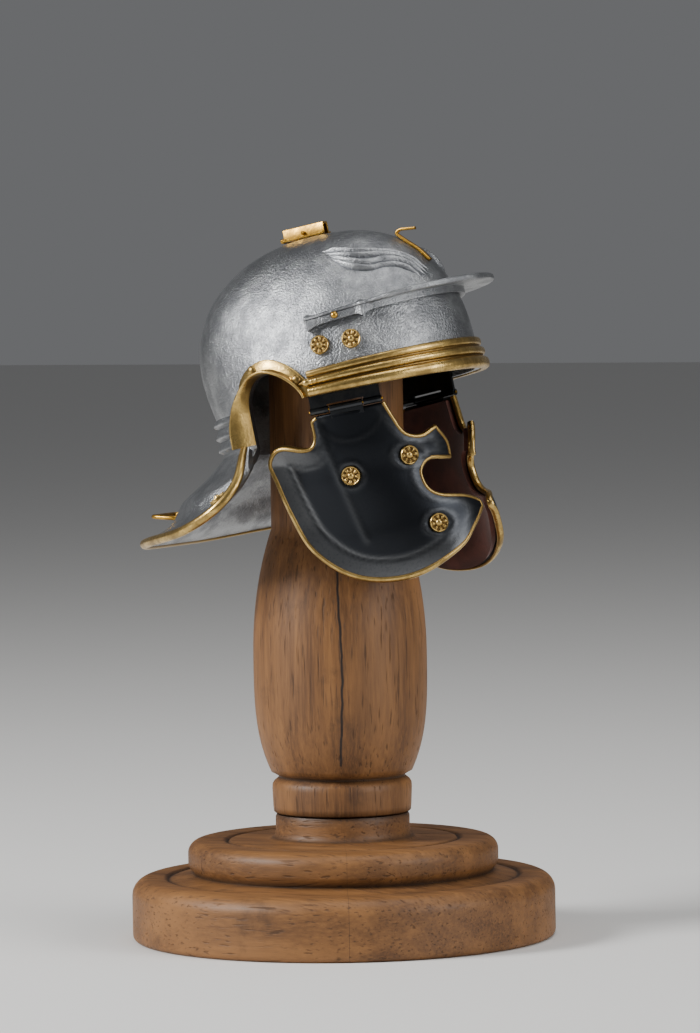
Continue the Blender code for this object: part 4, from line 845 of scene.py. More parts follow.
class HELMET_OT_bowl(bpy.types.Operator):
    """Raise the bowl with its ribbed nape, neck guard and its brass edge, ear openings and eyebrows"""

    bl_idname = "helmet.bowl"
    bl_label = "Bowl and Neck Guard"

    columns = 240
    rings = 44

    def execute(self, context):
        tin = get_materials()["tinned_bowl"]
        points, faces, raised, rim = self.sheets()
        masks = {"raised": raised}
        bowl = finish("bowl_shell", (points, faces), tin, ROOT, ("bowl",), masks=masks)
        self.cut_ears(bowl)
        self.neck_trim(*rim)
        for name, side in SIDES.items():
            ridges, raised = self.eyebrow(side, context.scene.helmet_sizes.ridge_height / MM)
            finish(f"eyebrow_{name}", ridges, tin, ROOT, masks={"raised": raised})
        return {"FINISHED"}

    def sheets(self):
        """Points, faces and mask of the bowl with its neck guard, and the two edges of the guard's rim."""
        turns = np.linspace(0.0, math.tau, self.columns, endpoint=False)
        outer = [np.array((0.0, 0.0, CROWN))]
        inner = [np.array((0.0, 0.0, CROWN - WALL))]
        faces = []
        raised = [1.0]
        row = [0]

        def add_row(outside, inside, previous, closed, shade):
            first = len(outer)
            outer.extend(outside)
            inner.extend(inside)
            raised.extend(shade)
            fresh = list(range(first, len(outer)))
            for index in range(len(fresh) if closed else len(fresh) - 1):
                following = (index + 1) % len(fresh)
                if len(previous) == 1:
                    faces.append((previous[0], fresh[index], fresh[following]))
                else:
                    faces.append((previous[index], fresh[index], fresh[following], previous[following]))
            return fresh

        for ring in range(1, self.rings + 1):
            lift = math.cos(0.5 * math.pi * ring / self.rings) ** 0.9 if ring < self.rings else 0.0
            outside = bowl_point(turns, CROWN * lift)
            inside = bowl_point(turns, (CROWN - WALL) * lift, WALL)
            # The bowl's mask is low round the eyebrows: painted shade in their ground.
            row = add_row(outside, inside, row, True, self.eyebrow_shade(turns, lift))

        behind = np.nonzero((turns > FIRST_TURN - 1e-6) & (turns < math.tau - FIRST_TURN + 1e-6))[0]
        row = [row[column] for column in behind]
        rear = turns[behind]
        fade = np.clip(((math.pi - FIRST_TURN) - np.abs(math.pi - rear)) * 7.0 - 0.9, 0.0, 1.0)
        for drop in np.linspace(0.0, NAPE_DEPTH, 46)[1:]:
            below = [drop - rib * NAPE_DEPTH for rib in NAPE_RIBS]
            swell = max(math.exp(-((away / (0.3 if away > 0.0 else 0.85)) ** 2)) for away in below)
            hollow = sum(math.exp(-(((away - 0.5) / 0.25) ** 2)) for away in below)
            outside = bowl_point(rear, 0.0) + plan_normal(rear) * ((0.55 * swell - 0.1 * hollow) * fade)[
                :, None,
            ]
            inside = bowl_point(rear, 0.0, WALL)
            outside[:, 2] = inside[:, 2] = -drop
            # Painted shade in the groove under each rib, weaker where the ribs fade out.
            shade = np.clip(1.0 - 0.95 * hollow * (0.2 + 0.8 * fade), 0.0, 1.0)
            row = add_row(outside, inside, row, False, shade)
        start = len(outer)
        for out in np.linspace(0.0, 1.0, 40)[1:]:
            outside = np.array([neck_point(turn, out) for turn in rear])
            # Painted shade on the step just outside the crest and in the corner at the nape's foot.
            shade = (
                1.0
                - 0.6 * math.exp(-(((out - 0.69) / 0.035) ** 2))
                - 0.5 * math.exp(-(((out - 0.03) / 0.04) ** 2))
            )
            row = add_row(outside, outside, row, False, np.full(len(rear), shade))
        outer, inner, raised = np.array(outer), np.array(inner), np.array(raised)
        grid = outer[start:].reshape(-1, len(rear), 3)
        for _ in range(2):
            grid[1:-1] = 0.25 * grid[:-2] + 0.5 * grid[1:-1] + 0.25 * grid[2:]
        outer[start:] = grid.reshape(-1, 3)
        normals = np.zeros_like(outer)
        for face in faces:
            corners = outer[list(face)]
            normal = np.cross(corners[2] - corners[0], corners[-1] - corners[1])
            size = np.linalg.norm(normal)
            if size > 0.0:
                normals[list(face)] += normal / size
        inner[start:] = outer[start:] - unit(normals[start:]) * WALL
        points, faces = shell(outer, inner, faces)
        # The inner sheet gets 0.75 on the mask: painted shade inside the bowl.
        return points, faces, np.concatenate([raised, np.full(len(raised), 0.75)]), (outer[row], inner[row])

    def neck_trim(self, upper, lower):
        """Round brass edge over the rim of the sheet; both paths run from ear to ear."""
        middle = resample((upper + lower) / 2, 121)
        share = np.linspace(0.0, 1.0, len(upper))
        run = np.concatenate([[0.0], np.cumsum(np.linalg.norm(np.diff((upper + lower) / 2, axis=0), axis=1))])
        share = np.interp(np.linspace(0.0, run[-1], 121), run, share) * (len(upper) - 1)
        near = np.minimum(share.astype(int), len(upper) - 2)
        thick = unit(upper - lower)
        up = thick[near] + (thick[near + 1] - thick[near]) * (share - near)[:, None]
        for _ in range(10):
            up[1:-1] = unit(up[:-2] + 2.0 * up[1:-1] + up[2:])
        along = tangents(middle)
        outward = unit(np.cross(along, up))
        centre = middle.mean(axis=0) - (0.0, 12.0, 0.0)
        outward *= np.sign(np.sum(outward * (middle - centre), axis=1, keepdims=True))
        rows = zip(middle, outward, up)
        rings = [oval(place + out * 0.35, out * 0.62, lift * 0.68, 16) for place, out, lift in rows]
        # Painted shade on the side of the edge that meets the sheet, painted light on its outer side.
        shade = np.tile(np.clip(0.55 + 0.6 * np.cos(round_angles(16)), 0.0, 1.0), len(rings))
        brass_piece(
            "neck_guard_edge", loft(rings), get_materials()["worked_brass"], "neck_trim", raised=shade,
        )

    def eyebrow_shade(self, turns, lift):
        """Mask that is low in the ground between the eyebrows' ridges: painted shade there."""
        away = np.degrees(np.abs((turns + math.pi) % math.tau - math.pi))
        low = np.interp(away, (12.0, 18.0, 29.0, 46.0, 60.0, 68.0), (0.58, 0.58, 0.68, 0.69, 0.75, 0.82))
        high = np.interp(away, (12.0, 26.0, 38.0, 50.0, 68.0), (0.66, 0.75, 0.78, 0.80, 0.85))
        inside = np.clip(np.minimum(lift - low, high - lift) / 0.012 + 0.5, 0.0, 1.0) * (
            (away > 12.0) & (away < 68.0)
        )
        return 1.0 - 0.8 * inside

    def cut_ears(self, bowl):
        """Take the ear openings out of the bowl, across the whole helmet."""
        path = ear_path(49)
        outline = np.vstack([[path[0][0], -11.0], path, [path[-1][0], -11.0]])
        rings = []
        for x in (-27.0, 27.0):
            rings.append(np.stack([np.full(len(outline), x), -outline[:, 0], outline[:, 1]], axis=1))
        mesh = new_mesh("ear_cutter", loft(rings), HELMET)
        turn_outward(mesh, triangulate=True)
        turn_outward(bowl.data, triangulate=True)
        cutter = bpy.data.objects.new("ear_cutter", mesh)
        bpy.context.scene.collection.objects.link(cutter)
        modifier = bowl.modifiers.new("ears", "BOOLEAN")
        modifier.operation = "DIFFERENCE"
        modifier.solver = "EXACT"
        modifier.use_self = True
        modifier.object = cutter
        bpy.context.view_layer.update()
        cut = bpy.data.meshes.new_from_object(bowl.evaluated_get(bpy.context.evaluated_depsgraph_get()))
        bowl.modifiers.clear()
        bowl.data = cut
        bpy.data.objects.remove(cutter)
        cut.set_sharp_from_angle(angle=math.radians(60.0))
        if len(cut.polygons) < 10000:
            raise RuntimeError("the ear openings took the bowl away")

    def eyebrow(self, side, height):
        """Wavy ridges with a soft round section, their skirts just under the bowl's face."""
        ridges = (
            (
                (71, 0.865, 0.3), (62, 0.855, 0.9), (50, 0.825, 1.0), (38, 0.80, 1.0), (26, 0.77, 1.0),
                (15, 0.70, 0.9), (8, 0.62, 0.3),
            ),
            (
                (69, 0.850, 0.3), (57, 0.812, 0.9), (47, 0.79, 1.0), (36, 0.775, 1.0), (25, 0.74, 1.0),
                (16, 0.67, 0.9), (11, 0.60, 0.3),
            ),
            (
                (67, 0.835, 0.3), (57, 0.775, 1.1), (47, 0.735, 1.1), (37, 0.74, 1.1), (27, 0.72, 1.0),
                (18, 0.65, 0.9), (14, 0.59, 0.3),
            ),
            (
                (66, 0.815, 0.3), (56, 0.735, 1.1), (46, 0.70, 0.9), (38, 0.705, 0.8), (29, 0.69, 0.9),
                (21, 0.63, 0.8), (18, 0.57, 0.3),
            ),
        )
        across = np.linspace(-1.0, 1.0, 13)
        bell = (np.cos(across * math.pi) * 0.5 + 0.5) ** 0.8
        meshes, masks = [], []
        for ridge in ridges:
            path = resample(spline(ridge, 8), 46)
            turn, lift, size = side * np.radians(path[:, 0]), path[:, 1] * CROWN, path[:, 2]
            ends = np.clip(np.minimum(np.linspace(0, 8, 46), np.linspace(8, 0, 46)), 0.05, 1.0)
            centre = bowl_point(turn, lift)
            normal = bowl_normal(turn, lift)
            sideways = unit(np.cross(tangents(centre), normal))
            rings, shade = [], []
            for i in range(len(centre)):
                width = 0.66 * size[i] * ends[i] ** 0.5
                top = height * size[i] * ends[i] * bell - 0.03
                upper = centre[i] + sideways[i] * (across * width)[:, None] + normal[i] * top[:, None]
                lower = centre[i] + sideways[i] * (across[::-1] * width)[:, None] * 0.96 - normal[i] * 0.16
                rings.append(np.vstack([upper, lower]))
                # Painted light on the ridge tops, painted shade on their skirts and undersides.
                shade.extend([*np.clip(bell * 1.3 - 0.2, 0.0, 1.0), *np.zeros(len(across))])
            meshes.append(loft(rings))
            masks.extend(shade)
        return merge(*meshes), masks


class HELMET_OT_brow_band(bpy.types.Operator):
    """Lay the three-ribbed brow band with its turned beads"""

    bl_idname = "helmet.brow_band"
    bl_label = "Brow Band"

    def execute(self, context):
        brass = get_materials()["worked_brass"]
        limit = float(turn_at(BAND_END, 0.0))
        section = [
            (0.02, -0.22), (0.02, 4.2), (0.45, 4.22), (0.62, 4.12), (0.72, 3.92), (0.72, 3.55),
            (0.66, 3.3),
        ]
        section += [(0.38, 3.1), (0.4, 2.92), (0.75, 2.8), (0.95, 2.6), (1.02, 2.3), (0.98, 2.0), (0.82, 1.8)]
        section += [
            (0.5, 1.66), (0.52, 1.5), (0.95, 1.38), (1.22, 1.15), (1.34, 0.75), (1.32, 0.3),
            (1.15, -0.05), (0.8, -0.26),
        ]
        rise = np.array([up for _, up in section])
        # Painted shade in the band's two grooves.
        shade = 1.0 - np.exp(-(((rise - 3.0) / 0.2) ** 2)) - np.exp(-(((rise - 1.58) / 0.18) ** 2))
        rings, masks = [], []
        for turn in np.linspace(-limit, limit, 121):
            lower = 1.0 - 0.19 * (turn / limit) ** 2
            normal = plan_normal(turn)
            ring = []
            for out, up in section:
                point = bowl_point(turn, max(up, 0.0)) + normal * out
                point[2] = up * lower
                ring.append(point)
            rings.append(np.array(ring))
            masks.extend(shade)
        brass_piece("brow_band_ribbed", loft(rings), brass, "brow_band", 50.0, masks)
        for name, side in SIDES.items():
            self.beads(name, side, brass)
        return {"FINISHED"}

    def beads(self, name, side, brass):
        """Turned bead at the band's ear end, and the slanted bar behind it."""

        def place(forward, height, out):
            turn = side * float(turn_at(forward, 0.0))
            point = bowl_point(turn, height) + plan_normal(turn) * out
            point[2] = height
            return point

        profile = [(0.0, 0.35), (0.55, 0.5), (0.9, 0.78), (1.2, 0.85), (1.55, 0.7), (1.75, 0.52)]
        profile += [(1.95, 0.66), (2.2, 0.66), (2.4, 0.5), (2.6, 0.6), (2.85, 0.58), (3.1, 0.42)]
        start, end = place(0.9, 1.8, 0.55), place(4.2, 1.9, 0.7)
        axis = unit(end - start)
        across = unit(np.cross(axis, (0.0, 0.0, 1.0)))
        lift = np.cross(across, axis)
        rings, shade = [], []
        for run, radius in profile:
            size = radius * 0.72
            rings.append(oval(start + axis * run, across * size, lift * size, 20))
            # Painted shade in the bead's narrow necks.
            shade += [min(1.0, max(0.1, (radius - 0.4) * 2.6))] * 20
        brass_piece(f"band_bead_{name}", loft(rings), brass, None, 50.0, shade)
        bar = tube([place(-0.15, 3.1, 0.45), place(0.35, 1.9, 0.5), place(1.0, 0.6, 0.5)], 0.24, 12)
        brass_piece(f"band_end_bar_{name}", bar, get_materials()["plain_brass"], None, 42.0)


class HELMET_OT_visor(bpy.types.Operator):
    """Form the peak with its fixing leaf and dovetailed ends; its studs are set with the rosettes and rivets
    """

    bl_idname = "helmet.visor"
    bl_label = "Peak"

    def execute(self, context):
        tin = get_materials()["tinned_bowl"]
        limit = float(turn_at(VISOR_END, VISOR_HEIGHT))
        peak_limit = float(turn_at(PEAK_START, VISOR_HEIGHT))
        rings, masks = [], []
        for turn in np.linspace(-limit, limit, 141):
            forward = float(-bowl_point(turn, VISOR_HEIGHT)[1])
            top = VISOR_HEIGHT + VISOR_RISE * forward
            peak = max(0.0, 1.0 - (turn / peak_limit) ** 2) ** 0.8
            lip = math.exp(-(((abs(turn) - limit + 0.02) / 0.035) ** 2))
            lip += math.exp(-(((abs(turn) - peak_limit - 0.04) / 0.03) ** 2))
            reach = 0.85 + 0.45 * lip + 4.8 * peak
            rim = 0.9 * (0.55 + 0.45 * peak)
            flare = 0.5 * lip
            bottom = top - 1.5 - flare
            upper = top + flare * 0.6
            inner = bowl_point(turn, bottom) + plan_normal(turn, top) * 0.03
            away = plan_normal(turn, top)
            lift = 0.25 * peak
            section = [
                (0.0, bottom), (0.0, upper), (reach * 0.3, upper + 0.05 * peak),
                (reach * 0.7, top + lift * 0.55),
            ]
            section += [
                (reach - 0.25, top + lift), (reach - 0.03, top + lift - rim * 0.22),
                (reach, top + lift - rim * 0.55),
            ]
            section += [(reach - 0.06, top + lift - rim * 0.85), (reach - 0.25, top + lift - rim)]
            edge = 0.85 + 0.45 * lip
            section += [
                (edge + (reach - 0.25 - edge) * 0.5, top - 0.55 + lift * 0.3 - rim * 0.15),
                (edge, top - 0.55), (edge, bottom),
            ]
            ring = []
            for out, height in section:
                point = inner + away * out
                point[2] = height
                ring.append(point)
            rings.append(np.array(ring))
            # Painted shade where the peak meets the bowl and under it, painted light on its top and rim.
            masks.extend([0.0, 0.2, 0.85, 1.0, 1.0, 1.0, 0.95, 0.9, 0.8, 0.7, 0.75 + 0.25 * lip, 0.55])
        masks = {"raised": masks}
        bevel(
            finish("peak", loft(rings), tin, ROOT, ("visor",), sharp=40.0, masks=masks),
            0.07,
        )
        return {"FINISHED"}


class HELMET_OT_ear_guards(bpy.types.Operator):
    """Bend the angled brass strips round the ear openings"""

    bl_idname = "helmet.ear_guards"
    bl_label = "Ear Guards"

    def execute(self, context):
        brass = get_materials()["worked_brass"]
        path = ear_path(73)
        heights = np.maximum(path[:, 1], 0.0)
        for name, side in SIDES.items():
            turn = side * turn_at(path[:, 0], heights)
            points = bowl_point(turn, heights)
            points[:, 2] = path[:, 1]
            lifted = np.maximum(path[:, 1], 1.0)
            normals = bowl_normal(side * turn_at(path[:, 0], lifted), lifted)
            away = unit(np.cross(tangents(points), normals)) * side
            rings, masks = [], []
            for i in range(len(path)):
                share = i / (len(path) - 1)
                rear = 0.5 - 0.5 * math.cos(math.pi * min(1.0, max(0.0, (0.48 - share) / 0.4)))
                front = max(0.0, (share - 0.6) / 0.4)
                flange = 2.0 + 0.9 * rear - 1.1 * front
                flare = 1.5 * rear
                leg = 2.0 * (1.0 - 0.45 * rear - 0.25 * front)
                section = [
                    (0.0, 0.06), (leg - 0.06, 0.06), (leg, 0.16), (leg, 0.42), (leg - 0.1, 0.52),
                    (0.75, 0.55),
                ]
                section += [
                    (0.5, 0.62), (0.42, 0.8), (0.42 + flare * 0.45, 0.1 + flange * 0.55),
                    (0.4 + flare, flange),
                ]
                section += [
                    (0.3 + flare, 0.14 + flange), (0.12 + flare, 0.15 + flange), (flare, 0.05 + flange),
                    (flare * 0.4, 0.1 + flange * 0.5),
                ]
                rings.append(
                    np.array([points[i] + away[i] * across + normals[i] * out for across, out in section])
                )
                # Painted shade at the strip's foot and in the corner between its leg and its flange.
                masks.extend([0.3, 0.3, 0.7, 0.9, 1.0, 0.7, 0.2, 0.3, 0.8, 1.0, 1.0, 1.0, 0.95, 0.7])
            brass_piece(f"ear_guard_strip_{name}", loft(rings), brass, f"ear_guard_{name}", 55.0, masks)
        return {"FINISHED"}


def rosette(radius, height, petals):
    """Points, faces and mask of a flower boss: rim, petals between hollows, and a domed heart; the mask
    paints shade in the hollows.
    """
    rings = [
        (0.0, 1.0), (0.12, 0.98), (0.22, 0.9), (0.32, 0.72), (0.38, 0.5), (0.44, 0.42), (0.52, 0.42),
        (0.6, 0.42),
    ]
    rings += [
        (0.68, 0.42), (0.76, 0.42), (0.82, 0.46), (0.87, 0.62), (0.93, 0.66), (0.98, 0.55), (1.0, 0.3),
        (1.0, 0.0),
    ]
    sides = 12 * petals
    angles = round_angles(sides)
    wave = 0.5 + 0.5 * np.cos(angles * petals)
    points, faces, shade = [(0.0, 0.0, height * rings[0][1])], [], [1.0]
    for share, lift in rings[1:]:
        petal = math.exp(-(((share - 0.64) / 0.16) ** 2))
        tall = height * (lift + 0.34 * petal * (wave - 0.35))
        if share >= 1.0:
            tall = np.full(sides, height * lift)
        points += list(zip(radius * share * np.cos(angles), radius * share * np.sin(angles), tall))
        # Painted shade between the petals and in the trough round the heart.
        heart = 1.0 if share < 0.34 or share > 0.84 else 0.0
        shade += list(np.clip(np.maximum(heart, petal * (wave * 1.3 - 0.25)), 0.05, 1.0))
    for side in range(sides):
        following = (side + 1) % sides
        faces.append((0, 1 + side, 1 + following))
        for ring in range(len(rings) - 2):
            low = 1 + ring * sides
            faces.append((low + side, low + sides + side, low + sides + following, low + following))
    faces.append(tuple(1 + (len(rings) - 2) * sides + side for side in reversed(range(sides))))
    return np.array(points), faces, shade


def seat(point, normal):
    """Matrix that stands a boss on a face of the helmet; both are in the helmet's frame, in millimetres."""
    rotation = Vector((0.0, 0.0, 1.0)).rotation_difference(Vector(normal)).to_matrix().to_4x4()
    return HELMET @ Matrix.Translation(Vector(point) * MM) @ rotation


def dome(radius, height):
    profile = [(0.0, height)]
    profile += [
        (radius * math.sin(a), height * (0.15 + 0.85 * math.cos(a))) for a in np.radians((18, 36, 54, 72, 90))
    ]
    profile += [(radius * 1.02, 0.0), (0.0, 0.0)]
    return spin(profile, 24)


class HELMET_OT_bosses(bpy.types.Operator):
    """Set the flower rosettes, rivets and studs"""

    bl_idname = "helmet.bosses"
    bl_label = "Rosettes and Rivets"

    def execute(self, context):
        materials = get_materials()
        sizes = context.scene.helmet_sizes
        flower = rosette(sizes.rosette_radius / MM, ROSETTE_HEIGHT, sizes.petals)
        small_flower = rosette(1.3, 0.95, sizes.petals)
        for name, side in SIDES.items():
            for number, (forward, height) in enumerate(((4.6, 6.6), (8.8, 6.6)), 1):
                turn = side * float(turn_at(forward, height))
                matrix = seat(bowl_point(turn, height), bowl_normal(turn, height))
                self.flower(f"bowl_flower_{name}_{number}", flower, matrix, f"bowl_rosette_{name}_{number}")
            turn = NECK_BOSS_TURN
            spots = [neck_point(turn, 0.78), neck_point(turn, 0.88), neck_point(turn + 0.05, 0.78)]
            normal = unit(np.cross(spots[1] - spots[0], spots[2] - spots[0]))
            normal = normal * math.copysign(1.0, normal[2]) * np.array((side, 1.0, 1.0))
            matrix = seat(node_centre(f"neck_rosette_{name}") - normal * 0.28, normal)
            self.flower(f"neck_flower_{name}", small_flower, matrix, f"neck_rosette_{name}")
            for number in (1, 2):
                node = f"ear_rivet_{name}_{number}"
                self.rivet(f"ear_rivet_head_{name}_{number}", node, 0.72, 0.5, materials["old_brass"])
            self.rivet(f"peak_stud_head_{name}", f"visor_stud_{name}", 0.5, 0.45, materials["plain_brass"])
        return {"FINISHED"}

    def flower(self, name, flower, matrix, node):
        points, faces, shade = flower
        brass_piece(name, (points, faces), get_materials()["worked_brass"], node, 50.0, shade, ROOT, matrix)

    def rivet(self, name, node, radius, height, brass):
        """Dome at the middle of the node's own seat."""
        centre = node_centre(node)
        turn = math.copysign(float(turn_at(-centre[1], max(centre[2], 0.0))), centre[0])
        normal = bowl_normal(turn, max(centre[2], 0.5))
        matrix = seat(centre - normal * height * 0.55, normal)
        brass_piece(name, dome(radius, height), brass, node, 50.0, matrix=matrix)


class HELMET_OT_crest_fittings(bpy.types.Operator):
    """Fold the crest holder and bend the two hooks"""

    bl_idname = "helmet.crest_fittings"
    bl_label = "Crest Fittings"

    def execute(self, context):
        brass = get_materials()["plain_brass"]
        base = CROWN + 0.03
        outline = [
            (-1.45, 0.0), (-0.55, 0.0), (-0.5, 1.45), (0.5, 1.45), (0.55, 0.0), (1.45, 0.0), (1.45, 0.26),
        ]
        outline += [
            (0.83, 0.28), (0.77, 1.62), (0.7, 1.75), (-0.7, 1.75), (-0.77, 1.62), (-0.83, 0.28),
            (-1.45, 0.26),
        ]
        rings = [np.array([(x, y, base + z) for x, z in outline]) for y in (-1.6, -1.2, 4.4, 4.8)]
        lug = tube([(-1.2, 4.9, base + 0.2), (1.2, 4.9, base + 0.2)], 0.34, 14)
        pin = tube([(-1.25, 1.6, base + 0.75), (1.25, 1.6, base + 0.75)], 0.26, 14)
        bevel(brass_piece("crest_channel", merge(loft(rings), lug), brass, "crest_holder", 30.0), 0.05)
        brass_piece("crest_cross_pin", pin, brass, "crest_pin", 42.0)
        heights = np.array((0.69, 0.77, 0.845)) * CROWN
        rise = bowl_point(0.0, heights) + bowl_normal(np.zeros(3), heights) * 0.24
        end = rise[-1]
        curl = ((0, 0.75, 0.75), (0, 0.95, 1.15), (0, 0.35, 1.45), (0, -0.6, 1.38), (0, -2.0, 1.2))
        self.hook("front_crest_hook", [*rise, *(end + step for step in curl)], "front_hook", brass)
        heights = np.array((0.79, 0.73)) * CROWN
        rise = bowl_point(math.pi, heights) + bowl_normal(np.full(2, math.pi), heights) * 0.24
        end = rise[-1]
        self.hook("rear_crest_hook", [*rise, end + (0, 0.7, -0.9), end + (0, 1.7, -1.9)], "rear_hook", brass)
        return {"FINISHED"}

    def hook(self, name, path, node, brass):
        """Flat strip that narrows along its path."""
        path = resample(spline(path, 8), 40)
        along = tangents(path)
        normal = unit(np.cross(np.tile((1.0, 0.0, 0.0), (len(path), 1)), along))
        outline = [
            (-0.45, -0.1), (-0.38, -0.19), (0.38, -0.19), (0.45, -0.1), (0.45, 0.1), (0.38, 0.19),
            (-0.38, 0.19), (-0.45, 0.1),
        ]
        rings = []
        for i in range(len(path)):
            narrow = 1.0 - 0.35 * i / (len(path) - 1)
            rings.append(
                np.array([path[i] + np.array((x * narrow, 0.0, 0.0)) + normal[i] * z for x, z in outline])
            )
        brass_piece(name, loft(rings), brass, node)


class HELMET_OT_handle(bpy.types.Operator):
    """Bend the carrying handle and its two eyes"""

    bl_idname = "helmet.handle"
    bl_label = "Carrying Handle"

    def execute(self, context):
        brass = get_materials()["plain_brass"]
        joint = next(j for j in frame["joints"] if j["name"] == "carrying_handle_hinge")
        pivot = np.array(HELMET.inverted() @ Vector(joint["pos_m"])) / MM
        reach = np.array((0.0, math.cos(HANDLE_LIFT), math.sin(HANDLE_LIFT))) * HANDLE_LENGTH
        bends = ((1.62, 0.0), (2.7, 0.0), (3.3, 0.05), (3.6, 0.22), (3.6, 0.75), (3.35, 0.95), (2.8, 1.0))
        half = [np.array((across, 0.0, 0.0)) + reach * share for across, share in bends]
        path = [bend * (-1.0, 1.0, 1.0) for bend in half] + half[::-1]
        path = resample(spline(path, 8), 90) + pivot
        bail = tube(path, HANDLE_WIRE, 14, up=(0.0, -math.sin(HANDLE_LIFT), math.cos(HANDLE_LIFT)))
        brass_piece("handle_bail", bail, brass, "carrying_handle", body="carrying_handle")
        for name in SIDES:
            centre = node_centre(f"handle_eye_{name}")
            rings = []
            for angle in round_angles(40):
                spoke = np.array((0.0, math.cos(angle), math.sin(angle)))
                rings.append(
                    oval(centre + spoke * EYE_RADIUS, spoke * EYE_WIRE, np.array((EYE_WIRE, 0.0, 0.0)), 12),
                )
            brass_piece(f"handle_eye_ring_{name}", loft(rings, closed=True), brass, f"handle_eye_{name}")
        return {"FINISHED"}


# Cheek guards, worked in their side view as (forward, drop) in millimetres

HINGE_REAR, HINGE_FRONT, HINGE_DROP = 0.9, 10.6, 2.2
HINGE_GAP, HINGE_SHEET = 0.15, 0.4
CHEEK_LENGTH, CHEEK_DEPTH, CHEEK_SHEET = 24.6, 24.2, 0.8
TRIM_LAP, TRIM_HALF_WIDTH = 0.12, 0.36
CHEEK_TOP = HINGE_DROP + 0.6
CHEEK_REAR = -0.715 * CHEEK_LENGTH + HINGE_FRONT + 0.1
CHEEK_PLAN = (
    (-0.10, 1.0, 1.0), (0.20, 0.987, 0.915), (0.38, 0.961, 0.878), (0.72, 0.877, 0.990),
    (1.02, 0.800, 1.010),
)
CHEEK_BOSSES = ((0.463, 0.376), (0.764, 0.322), (0.837, 0.735))
CHEEK_OUTLINE = (
    (0.715, 0.00, 1, 0.0),
    (0.735, 0.08, 0, 0.0),
    (0.770, 0.19, 0, 0.0),
    (0.835, 0.225, 0, 0.0),
    (0.895, 0.185, 1, 0.0),
    (0.913, 0.27, 0, 0.0),
    (0.905, 0.375, 1, 0.0),
    (0.840, 0.362, 0, 0.0),
    (0.800, 0.42, 0, 0.0),
    (0.815, 0.52, 0, 0.0),
    (0.865, 0.575, 0, 0.0),
    (0.948, 0.602, 0, 0.0),
    (0.988, 0.640, 0, 0.0),
    (1.000, 0.70, 0, 0.0),
    (0.975, 0.79, 0, 0.1),
    (0.920, 0.89, 0, 0.4),
    (0.775, 0.975, 0, 0.9),
    (0.610, 1.00, 0, 1.0),
    (0.420, 0.965, 0, 1.0),
    (0.262, 0.87, 0, 1.0),
    (0.130, 0.71, 0, 1.0),
    (0.068, 0.52, 0, 1.0),
    (0.020, 0.32, 0, 1.0),
    (0.000, 0.225, 0, 1.0),
    (0.040, 0.165, 0, 0.9),
    (0.110, 0.148, 0, 0.8),
    (0.225, 0.180, 0, 0.5),
    (0.282, 0.172, 0, 0.2),
    (0.304, 0.120, 0, 0.0),
    (0.306, 0.03, 1, 0.0),
    (0.352, 0.00, 1, 0.0),
)


def hinge_ends():
    """Rear and front end of the left hinge's axis."""
    inset = HINGE_GAP + HINGE_SHEET
    places = (HINGE_REAR, HINGE_FRONT)
    return [np.array((half_width_at(f, 0.0, WALL) - inset, -f, -HINGE_DROP)) for f in places]


def cheek_outline(step):
    """Outline of the guard in side view with the flare at each point, open at the hinge."""
    rows = [
        (CHEEK_REAR + a * CHEEK_LENGTH, CHEEK_TOP + b * CHEEK_DEPTH, c, d) for a, b, c, d in CHEEK_OUTLINE
    ]
    result, start = [], 0
    while start < len(rows) - 1:
        end = start + 1
        while not rows[end][2]:
            end += 1
        knots = [(row[0], row[1], row[3]) for row in rows[start : end + 1]]
        curve = spline(knots, 12) if len(knots) > 2 else np.array(knots)
        length = np.linalg.norm(np.diff(curve[:, :2], axis=0), axis=1).sum()
        result.extend(resample(curve, max(2, round(length / step) + 1))[:-1])
        start = end
    result.append(np.array((rows[-1][0], rows[-1][1], rows[-1][3])))
    return np.clip(np.array(result), (-99, -99, 0.0), (99, 99, 1.0))


def to_outline(places, outline, closed):
    """Distance to the outline, the flare at the nearest point of it, and whether each place is inside."""
    starts = outline
    ends = np.roll(outline, -1, axis=0)
    if not closed:
        starts, ends = starts[:-1], ends[:-1]
    best = np.full(len(places), np.inf)
    flare = np.zeros(len(places))
    for start, end in zip(starts, ends):
        run = end[:2] - start[:2]
        share = np.clip(((places - start[:2]) @ run) / max(run @ run, 1e-12), 0.0, 1.0)
        away = np.linalg.norm(places - start[:2] - share[:, None] * run, axis=1)
        nearer = away < best
        best[nearer] = away[nearer]
        flare[nearer] = (start[2] + (end[2] - start[2]) * share)[nearer]
    inside = np.zeros(len(places), bool)
    for start, end in zip(outline, np.roll(outline, -1, axis=0)):
        spans = (start[1] > places[:, 1]) != (end[1] > places[:, 1])
        if abs(end[1] - start[1]) > 1e-12:
            crossing = start[0] + (places[:, 1] - start[1]) * (end[0] - start[0]) / (end[1] - start[1])
            inside ^= spans & (places[:, 0] < crossing)
    return best, flare, inside


